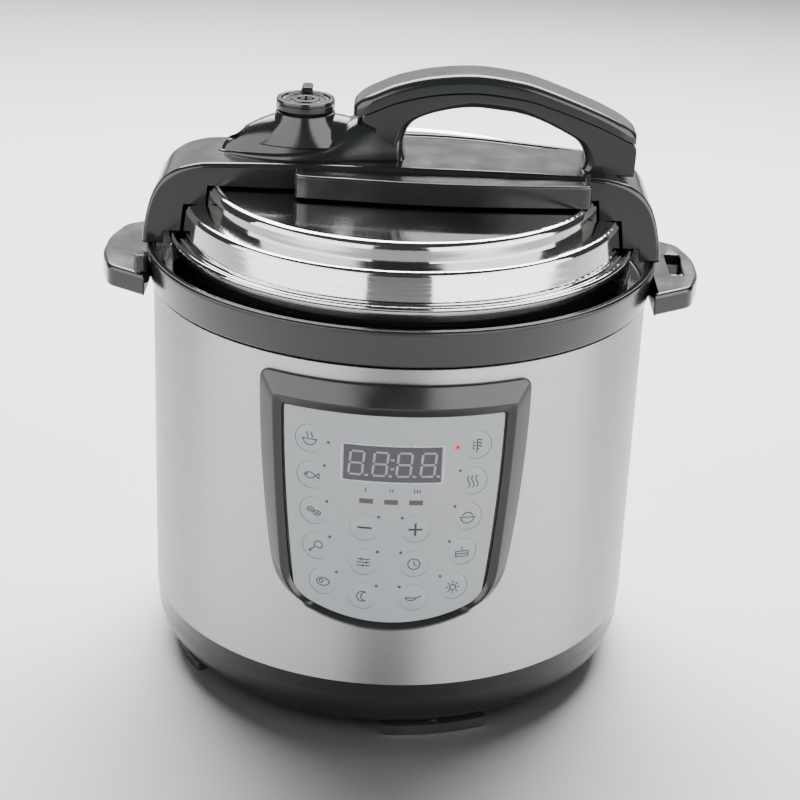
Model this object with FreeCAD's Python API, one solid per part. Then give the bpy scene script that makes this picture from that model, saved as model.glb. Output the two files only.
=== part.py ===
"""Electric pressure cooker: base with heated housing, removable inner pot and bayonet lid.

Units are millimetres. The origin is on the vertical axis of the cooker at the plane of its feet,
+Z is up, -Y is the front with the control panel and +X is the right-hand side lug.
"""
import FreeCAD, Part
import math
import os

V = FreeCAD.Vector
UP = V(0, 0, 1)

# ---------------------------------------------------------------- driving dimensions: body
shell_radius = 133.0         # outside of the steel shell
shell_height = 177.0         # visible steel band
shell_wall = 0.8
foot_height = 6.0
foot_arc = 27.0              # degrees of arc of each foot
foot_angles = (13.1, 109.5, 193.1, 289.5)   # from the front, turning to the right
foot_width = 12.0
foot_peg_radius = 3.0
base_height = 31.0           # base pan from its flat bottom to the shell
base_wall = 2.6
base_inset = 14.5            # how much narrower the flat bottom is than the shell
base_crease = 8.0            # height of the straight band above the curved side
base_lip = 4.0               # locating lip inside the shell
fit_gap = 0.3                # clearance between pieces that are assembled by hand
peg_gap = 0.05               # clearance of a pressed peg
jacket_gap = 17.2            # air gap between the shell and the housing pot

# ---------------------------------------------------------------- housing pot and inner pot
housing_wall = 1.2
housing_floor_rise = 13.0    # housing floor above the lower edge of the shell
housing_corner = 10.0
pot_gap = 2.8                # gap between housing and inner pot
pot_wall = 1.0
pot_floor = 2.0
pot_corner = 17.0
pot_rim_width = 3.6
pot_rim_height = 1.8
pot_stand = 20.0             # inner pot floor above the housing floor
rim_step = 3.0               # inner pot rim above the housing rim
tab_count = 6
housing_tab_arc = 27.0
housing_tab_reach = 5.5
tab_thickness = 3.0
lid_tab_arc = 25.0
lid_tab_drop = 2.2           # free height between housing tabs and lid tabs

# ---------------------------------------------------------------- collar and lugs
collar_gap = 0.8             # shadow gap above the shell
collar_height = 20.4
collar_flare = 2.4           # collar is wider at the top
collar_overhang = 1.5        # collar beyond the shell at its lower edge
collar_wall = 3.0
collar_floor = 2.4
collar_skirt = 6.0           # locating skirt inside the shell
housing_rise = 13.2          # housing rim above the collar's lower edge
lug_reach = 25.5             # lug tip beyond the collar's lower edge
lug_root_half = 49.0
lug_tip_half = 34.5
lug_corner = 10.0
lug_height = 11.6
lug_slot_depth = 9.4
lug_slot_half = 16.5
lug_slot_offset = 11.0       # slot's inner wall beyond the shell
lug_slot_corner = 1.5
sensor_post_radius = 3.9     # lid sensor on the left-hand lug
sensor_post_gap = 0.4        # between the post and the collar's wall
sensor_post_y = -41.0
sensor_post_rise = 9.4       # above the lug
sensor_post_seat = 6.0       # depth of its hole in the lug
lug_edge = 2.2

# ---------------------------------------------------------------- lid
lid_wall = 1.2
skirt_gap = 1.5              # lid skirt outside the housing tabs
skirt_height = 20.0
brim_reach = 1.3             # rolled brim beyond the skirt
brim_drop = 4.4              # brim top above the collar rim plus roll height
brim_roll = 4.2
lower_wall_inset = 6.0       # lower step's foot, inside the brim
lower_step_height = 15.0
lower_wall_lean = 1.5
ledge_width = 9.0
upper_step_height = 10.6
shoulder = 4.0
disc_sink = 1.0
seal_height = 12.0
seal_width = 14.0
seal_clearance = 0.3
rack_wire = 1.5
lid_screw_x = (-30.0, 62.0)
lid_screw_y = 17.0
lid_screw_radius = 2.0

# ---------------------------------------------------------------- bridge, handle and valves
bridge_half_width = 26.0
bridge_rise = 12.4           # top of the bridge above the lid's upper rim
bridge_wall = 3.0
bridge_end_gap = 1.3         # bridge ends above the collar rim
lid_clearance = 0.4          # bridge and plate above the lid
wing_overhang = 20.0         # wing beyond the bridge at its widest
wing_end = 15.0
wing_rear_end = 2.0
wing_corner = 7.0
wing_dish = 1.4
wing_rim = 2.4
strap_height = 1.3
strap_width = 10.0
valve_x = -53.0              # steam valve, left of the axis
pipe_radius = 4.0
pipe_bore = 1.6
pipe_flange_radius = 8.0
nut_across = 15.0
nut_height = 4.4
shield_radius = 12.5
shield_height = 15.0
float_x = -84.0
float_radius = 3.0
float_head_radius = 5.0
float_travel = 3.6
float_seal_radius = 6.5
cover_half_width = 19.0
cover_nose = 46.0            # nose of the valve cover from the steam valve
cover_tail = 38.5            # tail of the valve cover from the steam valve
cover_height = 20.5
neck_radius = 16.5
neck_height = 3.0
knob_radius = 15.5
knob_height = 6.0
knob_lift = 0.8              # knob disc above the neck
knob_pocket = 3.0            # depth of the weight's pocket in the knob
knob_tab_rise = 2.0          # tab above the knob's rim
knob_tab_width = 6.0
knob_tab_length = 8.0
handle_half_width = 14.0
handle_rise = 48.5           # crown of the handle above the bridge
handle_nose = 12.0           # nose of the handle over the valve cover
handle_thickness = 15.7
cap_thickness = 9.0
handle_left_leg = 13.5
handle_right_leg = 26.5
handle_end_inset = 3.5       # right leg inside the brim
handle_edge = 3.0

# ---------------------------------------------------------------- control panel
panel_top_drop = 7.5         # below the shell's upper edge
panel_height = 136.3
panel_half_top = 66.7
panel_half_mid = 64.8
panel_half_low = 57.2
panel_shoulder = 18.2        # height of the lower corners above the lowest point
panel_depth = 5.5            # frame's crest outside the shell
panel_low_corner = 14.0
panel_top_corner = 5.0
panel_bevel = 3.0
overlay_top_drop = 15.9      # overlay below the frame's top
overlay_height = 114.4
overlay_half_top = 54.3
overlay_half_mid = 52.3
overlay_half_low = 47.4
overlay_shoulder = 11.8
overlay_low_corner = 10.0
overlay_top_corner = 1.5
overlay_seat = 2.4           # overlay's underside outside the shell
overlay_thickness = 1.0
overlay_gap = 0.2
ledge_inset = 3.0
tray_wall = 0.85
membrane_thickness = 0.4
key_radius = 7.4
key_gap = 0.15
key_proud = 0.3
key_travel = 0.4
key_row_drop = 16.1          # top row of keys below the overlay's top
key_row_pitch = 19.5
key_columns = (41.0, 39.8, 38.1, 36.2, 32.4)   # arc length from the panel's middle, top row first
centre_key_drop = 60.9
centre_key_arc = 12.4
light_radius = 0.8
light_offset = (6.7, 6.1)    # towards the middle and up from a key's centre
top_light_offset = (9.6, -0.6)
bar_size = (6.8, 2.6)
bar_drop = 46.3
bar_pitch = 12.4
window_half = 24.2
window_height = 19.0
window_drop = 16.2
board_half = 46.0
board_height = 96.0
board_depth = 12.2           # board inside the shell
board_thickness = 1.6

# ---------------------------------------------------------------- heating and electrics
plate_radius = 91.0
plate_height = 12.0
plate_foot = 5.0
sensor_radius = 15.0
sensor_travel = 3.0
sensor_hole_gap = 0.5
spring_wire = 0.9            # radius of the wire
spring_radius = 10.5
spring_turns = 3
element_radius = 70.0
element_tube = 3.5
bracket_width = 20.0
bracket_angles = (30.0, 150.0, 270.0)
bracket_radius = 104.0
bracket_sheet = 1.2
boss_height = 3.0
screw_radius = 2.0
screw_head = 3.8
shield_disc_radius = 84.0
shield_drop = 10.0
power_board_size = (96.0, 80.0)
power_board_lift = 12.0
inlet_half_width = 25.0
inlet_height = 28.0
inlet_rise = 11.0            # inlet's lower edge above the shell's lower edge
inlet_recess = (12.2, 8.2)   # half width and half height of the socket
inlet_depth = 16.0
inlet_proud = 3.6
wire_radius = 1.2

# ---------------------------------------------------------------- condensate cup and lid lock
cup_half_width = 22.5
cup_depth = 20.0
cup_height = 44.0
cup_wall = 1.6
cup_rail = 2.0
cup_gap = 0.35
slider_arc = 12.0
slider_angle = 270.0         # from the front, turning to the right
slider_width = 4.4

# ---------------------------------------------------------------- levels and radii that follow
base_z = foot_height
shell_z = base_z + base_height
shell_top = shell_z + shell_height
collar_z = shell_top + collar_gap
collar_top = collar_z + collar_height
shell_inside = shell_radius - shell_wall
housing_radius = shell_inside - jacket_gap
housing_inside = housing_radius - housing_wall
housing_floor = shell_z + housing_floor_rise
housing_top = collar_z + housing_rise
pot_radius = housing_inside - pot_gap
pot_inside = pot_radius - pot_wall
pot_z = housing_floor + pot_stand
pot_top = housing_top + rim_step
collar_radius = shell_radius + collar_overhang
collar_inside = collar_radius - collar_wall
skirt_inside = housing_radius + housing_tab_reach + skirt_gap
skirt_radius = skirt_inside + lid_wall
brim_radius = skirt_radius + brim_reach
brim_top = collar_top + brim_drop + brim_roll - 0.8
brim_low = brim_top - brim_roll
valley_z = brim_top - 2.0
lower_wall = brim_radius - lower_wall_inset
ledge_z = brim_top + lower_step_height
upper_wall = lower_wall - lower_wall_lean - 3.0 - ledge_width
lid_top = ledge_z + upper_step_height
disc_z = lid_top - disc_sink
disc_radius = upper_wall - shoulder
bridge_top = lid_top + bridge_rise
bridge_end = collar_radius + collar_flare
bridge_low = collar_top + bridge_end_gap
cover_top = bridge_top + cover_height
neck_top = cover_top + neck_height
knob_z = neck_top + knob_lift
handle_left = valve_x + cover_tail + 0.5
handle_right = brim_radius - handle_end_inset
panel_top = shell_top - panel_top_drop
panel_low = panel_top - panel_height
overlay_top = panel_top - overlay_top_drop
overlay_low = overlay_top - overlay_height
overlay_inner = shell_radius + overlay_seat
overlay_outer = overlay_inner + overlay_thickness
tray_face = shell_radius + peg_gap + tray_wall
membrane_face = tray_face + membrane_thickness
key_inner = membrane_face + key_travel + 0.15
key_outer = overlay_outer + key_proud
board_front = shell_radius - board_depth


# ---------------------------------------------------------------- helpers
def closed_wire(steps, place):
    """Closed wire through steps: (a, b) is a line's end, (ma, mb, a, b) an arc's middle and end."""
    start = place(*steps[0][-2:])
    edges = []
    here = start
    for step in list(steps[1:]) + [steps[0][-2:]]:
        there = place(*step[-2:])
        if len(step) == 4:
            edges.append(Part.Arc(here, place(*step[:2]), there).toShape())
        elif here.distanceToPoint(there) > 1e-6:
            edges.append(Part.LineSegment(here, there).toShape())
        here = there
    return Part.Wire(edges)


def spin(steps):
    """Solid of revolution about Z of a closed profile given as (radius, height) steps."""
    face = Part.Face(closed_wire(steps, lambda r, z: V(r, 0, z)))
    return face.revolve(V(0, 0, 0), UP, 360)


def tube(outer, inner, low, high):
    """Upright ring between two radii."""
    return spin([(inner, low), (outer, low), (outer, high), (inner, high)])


def rod(radius, start, end):
    """Round bar from one point to another."""
    along = end.sub(start)
    return Part.makeCylinder(radius, along.Length, start, along)


def block(x, y, z):
    """Box from three (low, high) ranges."""
    return Part.makeBox(x[1] - x[0], y[1] - y[0], z[1] - z[0], V(x[0], y[0], z[0]))


def slab(steps, low, high):
    """Upright prism of a plan outline given as (x, y) steps."""
    face = Part.Face(closed_wire(steps, lambda x, y: V(x, y, low)))
    return face.extrude(V(0, 0, high - low))


def side_slab(steps, half_width):
    """Prism across the cooker of a side outline given as (x, z) steps."""
    face = Part.Face(closed_wire(steps, lambda x, z: V(x, -half_width, z)))
    return face.extrude(V(0, 2 * half_width, 0))


def polar(radius, angle, z=0.0):
    """Point at an angle counted from the front towards the right, in degrees."""
    turn = math.radians(angle)
    return V(radius * math.sin(turn), -radius * math.cos(turn), z)


def sector(outer, inner, low, high, middle, arc):
    """Part of an upright ring, arc degrees wide about the middle angle."""
    ring = Part.makeCylinder(outer, high - low, V(0, 0, low), UP, arc)
    ring = ring.cut(Part.makeCylinder(inner, high - low, V(0, 0, low), UP, arc))
    ring.rotate(V(0, 0, 0), UP, middle - 90 - arc / 2)
    return ring


def turned(shape, angle):
    """Copy turned about Z by an angle counted from the front towards the right."""
    copy = shape.copy()
    copy.rotate(V(0, 0, 0), UP, angle)
    return copy


def joined(shapes):
    """Fused solid without seams left by the fuse."""
    return shapes[0].multiFuse(list(shapes[1:])).removeSplitter()


def group(shapes):
    """Separate solids kept in one node."""
    return Part.makeCompound(shapes)


def rounded(shape, radius, pick):
    """Shape with the picked edges rounded."""
    return shape.makeFillet(radius, [edge for edge in shape.Edges if pick(edge)])


def upright(edge):
    """True for a straight vertical edge."""
    ends = edge.Vertexes
    return len(ends) == 2 and ends[0].Point.sub(ends[1].Point).cross(UP).Length < 1e-6


def level_at(z):
    """Picker of edges that lie at one height."""
    def pick(edge):
        box = edge.BoundBox
        return abs(box.ZMin - z) < 1e-4 and abs(box.ZMax - z) < 1e-4
    return pick


# ---------------------------------------------------------------- base
def bracket_spots(radius, z):
    """Points at the three brackets."""
    return [polar(radius, angle, z) for angle in bracket_angles]


bracket_hole = bracket_radius - 8.0


def base_pan():
    """Plastic pan with a rolled side, a locating lip, vents, foot holes and screw bosses."""
    flat = shell_radius - base_inset
    crease_z = shell_z - base_crease
    mid_r = flat + 0.66 * base_inset
    mid_z = base_z + 0.34 * (crease_z - base_z)
    inner = base_wall
    pan = spin([(0, base_z), (flat, base_z), (mid_r, mid_z, shell_radius - 0.7, crease_z),
                (shell_radius, shell_z), (shell_inside - fit_gap, shell_z),
                (shell_inside - fit_gap, shell_z + base_lip),
                (shell_inside - fit_gap - inner, shell_z + base_lip),
                (shell_radius - 0.7 - inner, crease_z),
                (mid_r - inner * 0.8, mid_z + inner * 0.6, flat - inner, base_z + inner),
                (0, base_z + inner)])
    bosses = [rod(6.0, p, p + V(0, 0, inner + boss_height)) for p in bracket_spots(bracket_hole, base_z)]
    pan = joined([pan] + bosses)
    cuts = []
    for spot in bracket_spots(bracket_hole, base_z):
        cuts.append(rod(screw_radius + 0.2, spot, spot + V(0, 0, 20)))
        cuts.append(rod(screw_head + 0.4, spot, spot + V(0, 0, 3.0)))
    for angle in foot_angles:
        spot = polar(foot_middle(), angle, base_z)
        cuts.append(rod(foot_peg_radius + peg_gap, spot, spot + V(0, 0, 10)))
    for angle in range(0, 360, 15):
        for near, far in ((26.0, 44.0), (52.0, 72.0)):
            slot = block((-1.5, 1.5), (-far, -near), (base_z - 1, base_z + inner + 1))
            cuts.append(turned(slot, angle))
    return pan.cut(group(cuts))


def foot_middle():
    """Radius of the middle of a foot."""
    return shell_radius - base_inset + 5.0 - foot_width / 2


def feet():
    """Four curved feet with pegs pressed into the pan."""
    solids = []
    for angle in foot_angles:
        middle = foot_middle()
        pad = sector(middle + foot_width / 2, middle - foot_width / 2, 0, foot_height, angle, foot_arc)
        pad = rounded(pad, 2.0, upright)
        pad = rounded(pad, 1.0, level_at(0))
        spot = polar(middle, angle, foot_height - 1)
        solids.append(pad.fuse(rod(foot_peg_radius, spot, spot + V(0, 0, 1 + base_wall))))
    reach = foot_clearance_body()
    return group([solid.cut(reach) for solid in solids])


def foot_clearance_body():
    """Solid of the pan's outside, so that the feet follow its rolled edge."""
    flat = shell_radius - base_inset
    crease_z = shell_z - base_crease
    return spin([(flat, base_z), (flat + 0.66 * base_inset, base_z + 0.34 * (crease_z - base_z),
                                  shell_radius - 0.7, crease_z), (flat, crease_z)])


def base_screws():
    """Three pan-head screws from below into the brackets."""
    screws = []
    for spot in bracket_spots(bracket_hole, base_z + 0.6):
        head = rod(screw_head, spot, spot + V(0, 0, 2.4))
        shank = rod(screw_radius, spot, spot + V(0, 0, base_wall + boss_height + 4))
        slot = block((spot.x - 0.5, spot.x + 0.5), (spot.y - 3, spot.y + 3), (spot.z, spot.z + 1))
        screws.append(joined([head, shank]).cut(slot))
    return group(screws)


def pot_brackets():
    """Three folded steel brackets that carry the housing on the pan's bosses."""
    foot_z = base_z + base_wall + boss_height
    half = bracket_width / 2
    out = bracket_radius
    deep = out - 16.0
    solids = []
    for angle in bracket_angles:
        foot = block((-half, half), (-out, -deep), (foot_z, foot_z + bracket_sheet))
        riser = block((-half, half), (-out, -out + bracket_sheet), (foot_z, housing_floor))
        head = block((-half, half), (-out, -deep), (housing_floor - bracket_sheet, housing_floor))
        bracket = turned(joined([foot, riser, head]), angle)
        spot = polar(bracket_hole, angle, foot_z - 1)
        solids.append(bracket.cut(rod(screw_radius, spot, spot + V(0, 0, 6))))
    return group(solids)


def heat_shield():
    """Thin reflector disc below the housing, held by three tongues on the brackets."""
    z = housing_floor - shield_drop
    disc = tube(shield_disc_radius, 24.0, z, z + 0.8)
    rim = tube(shield_disc_radius, shield_disc_radius - 0.8, z - 4.0, z + 0.8)
    out = bracket_radius - bracket_sheet
    tongues = [turned(block((-6, 6), (-out, -shield_disc_radius + 2), (z, z + 0.8)), a) for a in bracket_angles]
    return joined([disc, rim] + tongues)


# ---------------------------------------------------------------- housing and inner pot
def outer_pot():
    """Drawn steel housing with six bayonet tabs outside its rim."""
    r, inside, z = housing_radius, housing_inside, housing_floor
    c = housing_corner
    bend = c * (1 - math.sqrt(0.5))
    pot = spin([(0, z), (r - c, z), (r - bend, z + bend, r, z + c), (r, housing_top), (inside, housing_top),
                (inside, z + c), (inside - bend + 0.35, z + bend + 0.85, r - c, z + housing_wall),
                (0, z + housing_wall)])
    tabs = []
    for index in range(tab_count):
        middle = index * 360.0 / tab_count
        tabs.append(sector(r + housing_tab_reach, r - 0.5, housing_top - tab_thickness, housing_top,
                           middle, housing_tab_arc))
    pot = joined([pot] + tabs)
    below = V(0, 0, z - 1)
    cuts = [rod(spring_radius - 3.0, below, below + V(0, 0, 4))]
    for angle in (80, 100):
        spot = polar(element_radius, angle, z - 1)
        cuts.append(rod(5.0, spot, spot + V(0, 0, 4)))
    return pot.cut(group(cuts))


def inner_pot():
    """Removable cooking pot with a flat rim."""
    r, inside, z = pot_radius, pot_inside, pot_z
    c = pot_corner
    bend = c * (1 - math.sqrt(0.5))
    inner_c = c - pot_wall
    inner_bend = inner_c * (1 - math.sqrt(0.5))
    return spin([(0, z), (r - c, z), (r - bend, z + bend, r, z + c), (r, pot_top - pot_rim_height),
                 (r + pot_rim_width, pot_top - pot_rim_height), (r + pot_rim_width, pot_top),
                 (inside, pot_top), (inside, z + pot_floor + inner_c),
                 (inside - inner_bend, z + pot_floor + inner_bend, inside - inner_c, z + pot_floor),
                 (0, z + pot_floor)])


# ---------------------------------------------------------------- shell and collar
def outer_shell():
    """Brushed steel band with windows for the panel, the inlet and the cup."""
    shell = tube(shell_radius, shell_inside, shell_z, shell_top)
    y = -shell_radius
    cuts = [block((-window_half - 3, window_half + 3), (y - 2, y + 14), window_levels(2.0)),
            block((-inlet_half_width + 3, inlet_half_width - 3), (shell_radius - 14, shell_radius + 2),
                  (shell_z + inlet_rise + 2, shell_z + inlet_rise + inlet_height - 2))]
    for spot in post_spots():
        cuts.append(rod(3.0, V(spot[0], y - 2, spot[1]), V(spot[0], board_front * -1, spot[1])))
    return shell.cut(group(cuts))


def window_levels(margin):
    """Lower and upper height of the display window with a margin."""
    high = overlay_top - window_drop
    return (high - window_height - margin, high + margin)


def post_spots():
    """Places of the posts that hold the control board, as (x, z)."""
    low = board_low() + 4.0
    high = low + board_height - 8.0
    return [(x, z) for x in (-40.0, 40.0) for z in (low, high)]


def board_low():
    """Lower edge of the control board."""
    return overlay_low + 9.8


def lug(side):
    """One side lug, rounded on its upper edge."""
    root = collar_inside - 15.0
    tip = collar_radius + lug_reach
    corner = tip - 6.0
    lean = (lug_root_half - lug_tip_half) * (shell_radius - 5.0 - root) / (corner - shell_radius + 5.0)
    root_half = lug_root_half + lean
    shape = slab([(root, -root_half), (corner, -lug_tip_half), (tip, 0, corner, lug_tip_half),
                  (root, root_half)], collar_z, collar_z + lug_height)
    shape = rounded(shape, lug_corner, lambda e: upright(e) and e.BoundBox.XMin > root + 5)
    shape = rounded(shape, lug_edge, lambda e: level_at(collar_z + lug_height)(e) and e.BoundBox.XMax > root + 1)
    shape = shape.cut(Part.makeCylinder(collar_inside + 0.5, 400))
    return shape if side > 0 else shape.mirror(V(0, 0, 0), V(1, 0, 0))


def lug_slot():
    """Slot through the right-hand lug that holds the lid on edge."""
    near = shell_radius + lug_slot_offset
    slot = block((near, near + lug_slot_depth), (-lug_slot_half, lug_slot_half), (collar_z - 1, collar_z + 30))
    return rounded(slot, lug_slot_corner, upright)


def sensor_spot(z):
    """Axis of the lid sensor on the left-hand lug, at a height."""
    reach = collar_radius + collar_flare + sensor_post_radius + sensor_post_gap
    return V(-math.sqrt(reach ** 2 - sensor_post_y ** 2), sensor_post_y, z)


def cup_levels():
    """Lower and upper height of the condensate cup."""
    high = collar_z - 2.6
    return (high - cup_height, high)


def top_collar():
    """Collar ring with its channel floor, side lugs, rear spout and cup rails."""
    floor_z = collar_z + collar_floor
    wall = collar_inside
    ring = spin([(housing_radius, collar_z), (shell_inside - fit_gap - 1.6, collar_z),
                 (shell_inside - fit_gap - 1.6, collar_z - collar_skirt), (shell_inside - fit_gap, collar_z - collar_skirt),
                 (shell_inside - fit_gap, collar_z), (collar_radius, collar_z),
                 (collar_radius + collar_flare, collar_top - 1.0), (collar_radius + collar_flare - 0.8, collar_top),
                 (wall + 1.6, collar_top), (wall, collar_top - 3.0), (wall, floor_z), (housing_radius, floor_z)])
    spout_y = shell_radius + cup_depth + 1.0
    rail_in = cup_half_width + cup_rail + cup_gap
    rail_out = rail_in + 3.0
    _, cup_high = cup_levels()
    spout = block((-rail_out, rail_out), (shell_radius, spout_y), (collar_z, collar_z + 5.0))
    rails = []
    for side in (-1, 1):
        near, far = sorted((side * rail_in, side * rail_out))
        rails.append(block((near, far), (shell_radius + 1.5, spout_y), (cup_high - 6.0, collar_z + 1)))
        near, far = sorted((side * (cup_half_width + cup_gap), side * rail_out))
        rails.append(block((near, far), (shell_radius + 1.5, spout_y), (cup_high - 6.0, cup_high - 4.0)))
    drip = rod(2.5, V(0, shell_radius + 8.0, collar_z - 1), V(0, shell_radius + 8.0, collar_z + 8))
    lug_top = collar_z + lug_height
    seat = rod(sensor_post_radius + peg_gap, sensor_spot(lug_top - sensor_post_seat), sensor_spot(lug_top + 20.0))
    body = joined([ring, lug(1), lug(-1), spout] + rails)
    return body.cut(group([lug_slot(), drip, seat]))


def condensate_cup():
    """Open cup that slides on two rails at the back."""
    low, high = cup_levels()
    front = shell_radius + 2.0
    back = front + cup_depth - 1.0
    body = rounded(block((-cup_half_width, cup_half_width), (front, back), (low, high)), 3.0, upright)
    hollow = block((-cup_half_width + cup_wall, cup_half_width - cup_wall), (front + cup_wall, back - cup_wall),
                   (low + cup_wall, high + 1))
    flange_z = (high - 4.0 + cup_gap, high - 2.4 + cup_gap)
    flange = block((-cup_half_width - cup_rail, cup_half_width + cup_rail), (front + 3.0, back - 1.0), flange_z)
    grip = block((-9.0, 9.0), (back - 1.0, back + 3.0), (high - 5.0, high - 2.0))
    return joined([body, flange, grip]).cut(hollow)


def interlock_slider():
    """Curved slider in the collar channel that follows the lid."""
    low = collar_z + collar_floor + fit_gap
    outer = collar_inside - fit_gap
    return sector(outer, outer - slider_width, low, low + 4.6, slider_angle, slider_arc)


def lid_sensor():
    """Round post pressed into the left-hand lug that senses the closed lid."""
    lug_top = collar_z + lug_height
    post = rod(sensor_post_radius, sensor_spot(lug_top - sensor_post_seat), sensor_spot(lug_top + sensor_post_rise))
    return rounded(post, 0.8, level_at(lug_top + sensor_post_rise))


# ---------------------------------------------------------------- control panel
def shield_prism(half_top, half_mid, half_low, high, low, shoulder_z, inset, corners):
    """Panel-shaped prism along Y: bowed sides that narrow downwards and a curved lower edge."""
    top_corner, low_corner = corners
    top = high - inset
    sill = low + inset
    corner_z = low + shoulder_z + inset * 0.5
    middle_z = 0.5 * (top + corner_z)
    steps = [(half_top - inset, top), (half_mid - inset, middle_z, half_low - inset, corner_z),
             (0, sill, inset - half_low, corner_z), (inset - half_mid, middle_z, inset - half_top, top)]
    face = Part.Face(closed_wire(steps, lambda x, z: V(x, -shell_radius - 30, z)))
    prism = face.extrude(V(0, shell_radius + 10, 0))
    def along_y(edge):
        return edge.BoundBox.YLength > shell_radius
    prism = rounded(prism, top_corner, lambda e: along_y(e) and e.BoundBox.ZMin > middle_z)
    return rounded(prism, low_corner, lambda e: along_y(e) and e.BoundBox.ZMax < middle_z)


def panel_prism(inset):
    """Outline of the panel frame, drawn in by inset."""
    return shield_prism(panel_half_top, panel_half_mid, panel_half_low, panel_top, panel_low, panel_shoulder,
                        inset, (panel_top_corner, panel_low_corner))


def overlay_prism(inset):
    """Outline of the overlay, drawn in by inset."""
    return shield_prism(overlay_half_top, overlay_half_mid, overlay_half_low, overlay_top, overlay_low,
                        overlay_shoulder, inset, (overlay_top_corner, overlay_low_corner))


def skin(prism, inner, outer):
    """Stretch of a prism between two radii."""
    return prism.common(tube(outer, inner, panel_low - 5, panel_top + 5))


def radial_rod(radius, arc, z, inner, outer):
    """Round bar along a radius of the panel, at an arc length from the panel's middle."""
    angle = math.degrees(arc / shell_radius)
    return rod(radius, polar(inner, angle, z), polar(outer, angle, z))


def window_block(margin):
    """Block through the panel at the display window."""
    return block((-window_half - margin, window_half + margin), (-shell_radius - 20, -shell_radius + 20),
                 window_levels(margin))


def panel_frame():
    """Bevelled frame with a shallow tray for the membrane and posts for the board."""
    frame = skin(panel_prism(0), shell_radius + peg_gap, shell_radius + panel_depth)
    crest = shell_radius + panel_depth
    front = [e for e in frame.Edges if on_cylinder(e, crest)]
    frame = frame.makeChamfer(panel_bevel, front)
    frame = frame.cut(skin(overlay_prism(-overlay_gap), overlay_inner, crest + 2))
    frame = frame.cut(skin(overlay_prism(ledge_inset), tray_face, overlay_inner + 0.5))
    frame = frame.cut(window_block(1.0))
    posts = []
    for x, z in post_spots():
        wall_y = -math.sqrt(shell_radius ** 2 - x ** 2) - 0.5
        posts.append(rod(2.6, V(x, wall_y, z), V(x, -board_front, z)))
    return joined([frame] + posts)


def on_cylinder(edge, radius):
    """True for an edge that lies on the upright cylinder of a radius."""
    first, last = edge.ParameterRange
    spots = [edge.valueAt(first + (last - first) * k / 4.0) for k in range(5)]
    return all(abs(math.hypot(p.x, p.y) - radius) < 1e-3 for p in spots)


def key_places():
    """Names and places of the keys, as (name, arc length, height)."""
    left = ("soup_key", "fish_key", "beans_key", "poultry_key", "meat_key")
    right = ("multigrain_key", "steam_key", "rice_key", "cake_key", "keep_warm_key")
    top = overlay_top - key_row_drop
    places = []
    for row, arc in enumerate(key_columns):
        z = top - row * key_row_pitch
        places.append((left[row], -arc, z))
        places.append((right[row], arc, z))
    middle = (("minus_key", "plus_key"), ("adjust_key", "delay_key"), ("slow_cook_key", "saute_key"))
    for row, pair in enumerate(middle):
        z = overlay_top - centre_key_drop - row * key_row_pitch
        places.append((pair[0], -centre_key_arc, z))
        places.append((pair[1], centre_key_arc, z))
    return places


def light_places():
    """Places of the indicator lights, as (arc length, height)."""
    places = []
    top = overlay_top - key_row_drop
    for _, arc, z in key_places():
        offset = top_light_offset if abs(z - top) < 1.0 else light_offset
        places.append((arc - math.copysign(offset[0], arc), z + offset[1]))
    return places


def bar_places():
    """Places of the three level bars."""
    return [(step * bar_pitch, overlay_top - bar_drop) for step in (-1, 0, 1)]


def bar_block(x, z, margin):
    """Block along Y of one level bar."""
    half_x = bar_size[0] / 2 + margin
    half_z = bar_size[1] / 2 + margin
    return block((x - half_x, x + half_x), (-shell_radius - 10, -shell_radius + 10), (z - half_z, z + half_z))


def panel_overlay():
    """Printed overlay with openings for keys, lights, bars and the display window."""
    sheet = skin(overlay_prism(0), overlay_inner, overlay_outer)
    cuts = [radial_rod(key_radius + key_gap, arc, z, overlay_inner - 3, overlay_outer + 3)
            for _, arc, z in key_places()]
    cuts += [radial_rod(light_radius + peg_gap, arc, z, overlay_inner - 3, overlay_outer + 3)
             for arc, z in light_places()]
    cuts += [bar_block(x, z, peg_gap) for x, z in bar_places()]
    cuts.append(window_block(peg_gap))
    return sheet.cut(group(cuts))


def membrane_circuit():
    """Flexible switch layer on the tray."""
    sheet = skin(overlay_prism(ledge_inset + 0.8), tray_face, membrane_face)
    return sheet.cut(window_block(1.0))


def display_window():
    """Tinted window flush with the overlay."""
    return skin(window_block(0), overlay_inner - 0.4, overlay_outer + 0.05)


def display_module():
    """Four-digit display block between the board and the window."""
    body = window_block(-0.5).common(tube(overlay_inner - 0.6, shell_radius - 40, panel_low, panel_top))
    return body.cut(block((-80, 80), (-board_front, 0), (0, 400)))


def indicator_leds():
    """Sixteen small lights and three level bars."""
    solids = [radial_rod(light_radius, arc, z, membrane_face, overlay_outer + 0.05) for arc, z in light_places()]
    solids += [skin(bar_block(x, z, 0), membrane_face, overlay_outer + 0.05) for x, z in bar_places()]
    return group(solids)


def key(arc, z):
    """One round key, curved like the panel."""
    return skin(radial_rod(key_radius, arc, z, key_inner - 4, key_outer + 4), key_inner, key_outer)


def control_board():
    """Upright board behind the panel."""
    low = board_low()
    board = block((-board_half, board_half), (-board_front, -board_front + board_thickness),
                  (low, low + board_height))
    return board


# ---------------------------------------------------------------- heating
def heating_plate():
    """Cast plate with a groove for the element, three feet and a hole for the sensor."""
    top = pot_z
    low = top - plate_height
    plate = rounded(Part.makeCylinder(plate_radius, plate_height, V(0, 0, low)), 2.0, level_at(low))
    floor = housing_floor + housing_wall
    legs = [rod(6.0, polar(82.0, angle, floor), polar(82.0, angle, low + 1)) for angle in (60, 180, 300)]
    hole = rod(sensor_radius + sensor_hole_gap, V(0, 0, low - 1), V(0, 0, top + 1))
    groove = Part.makeTorus(element_radius, element_tube, V(0, 0, low))
    return joined([plate] + legs).cut(group([hole, groove]))


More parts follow.
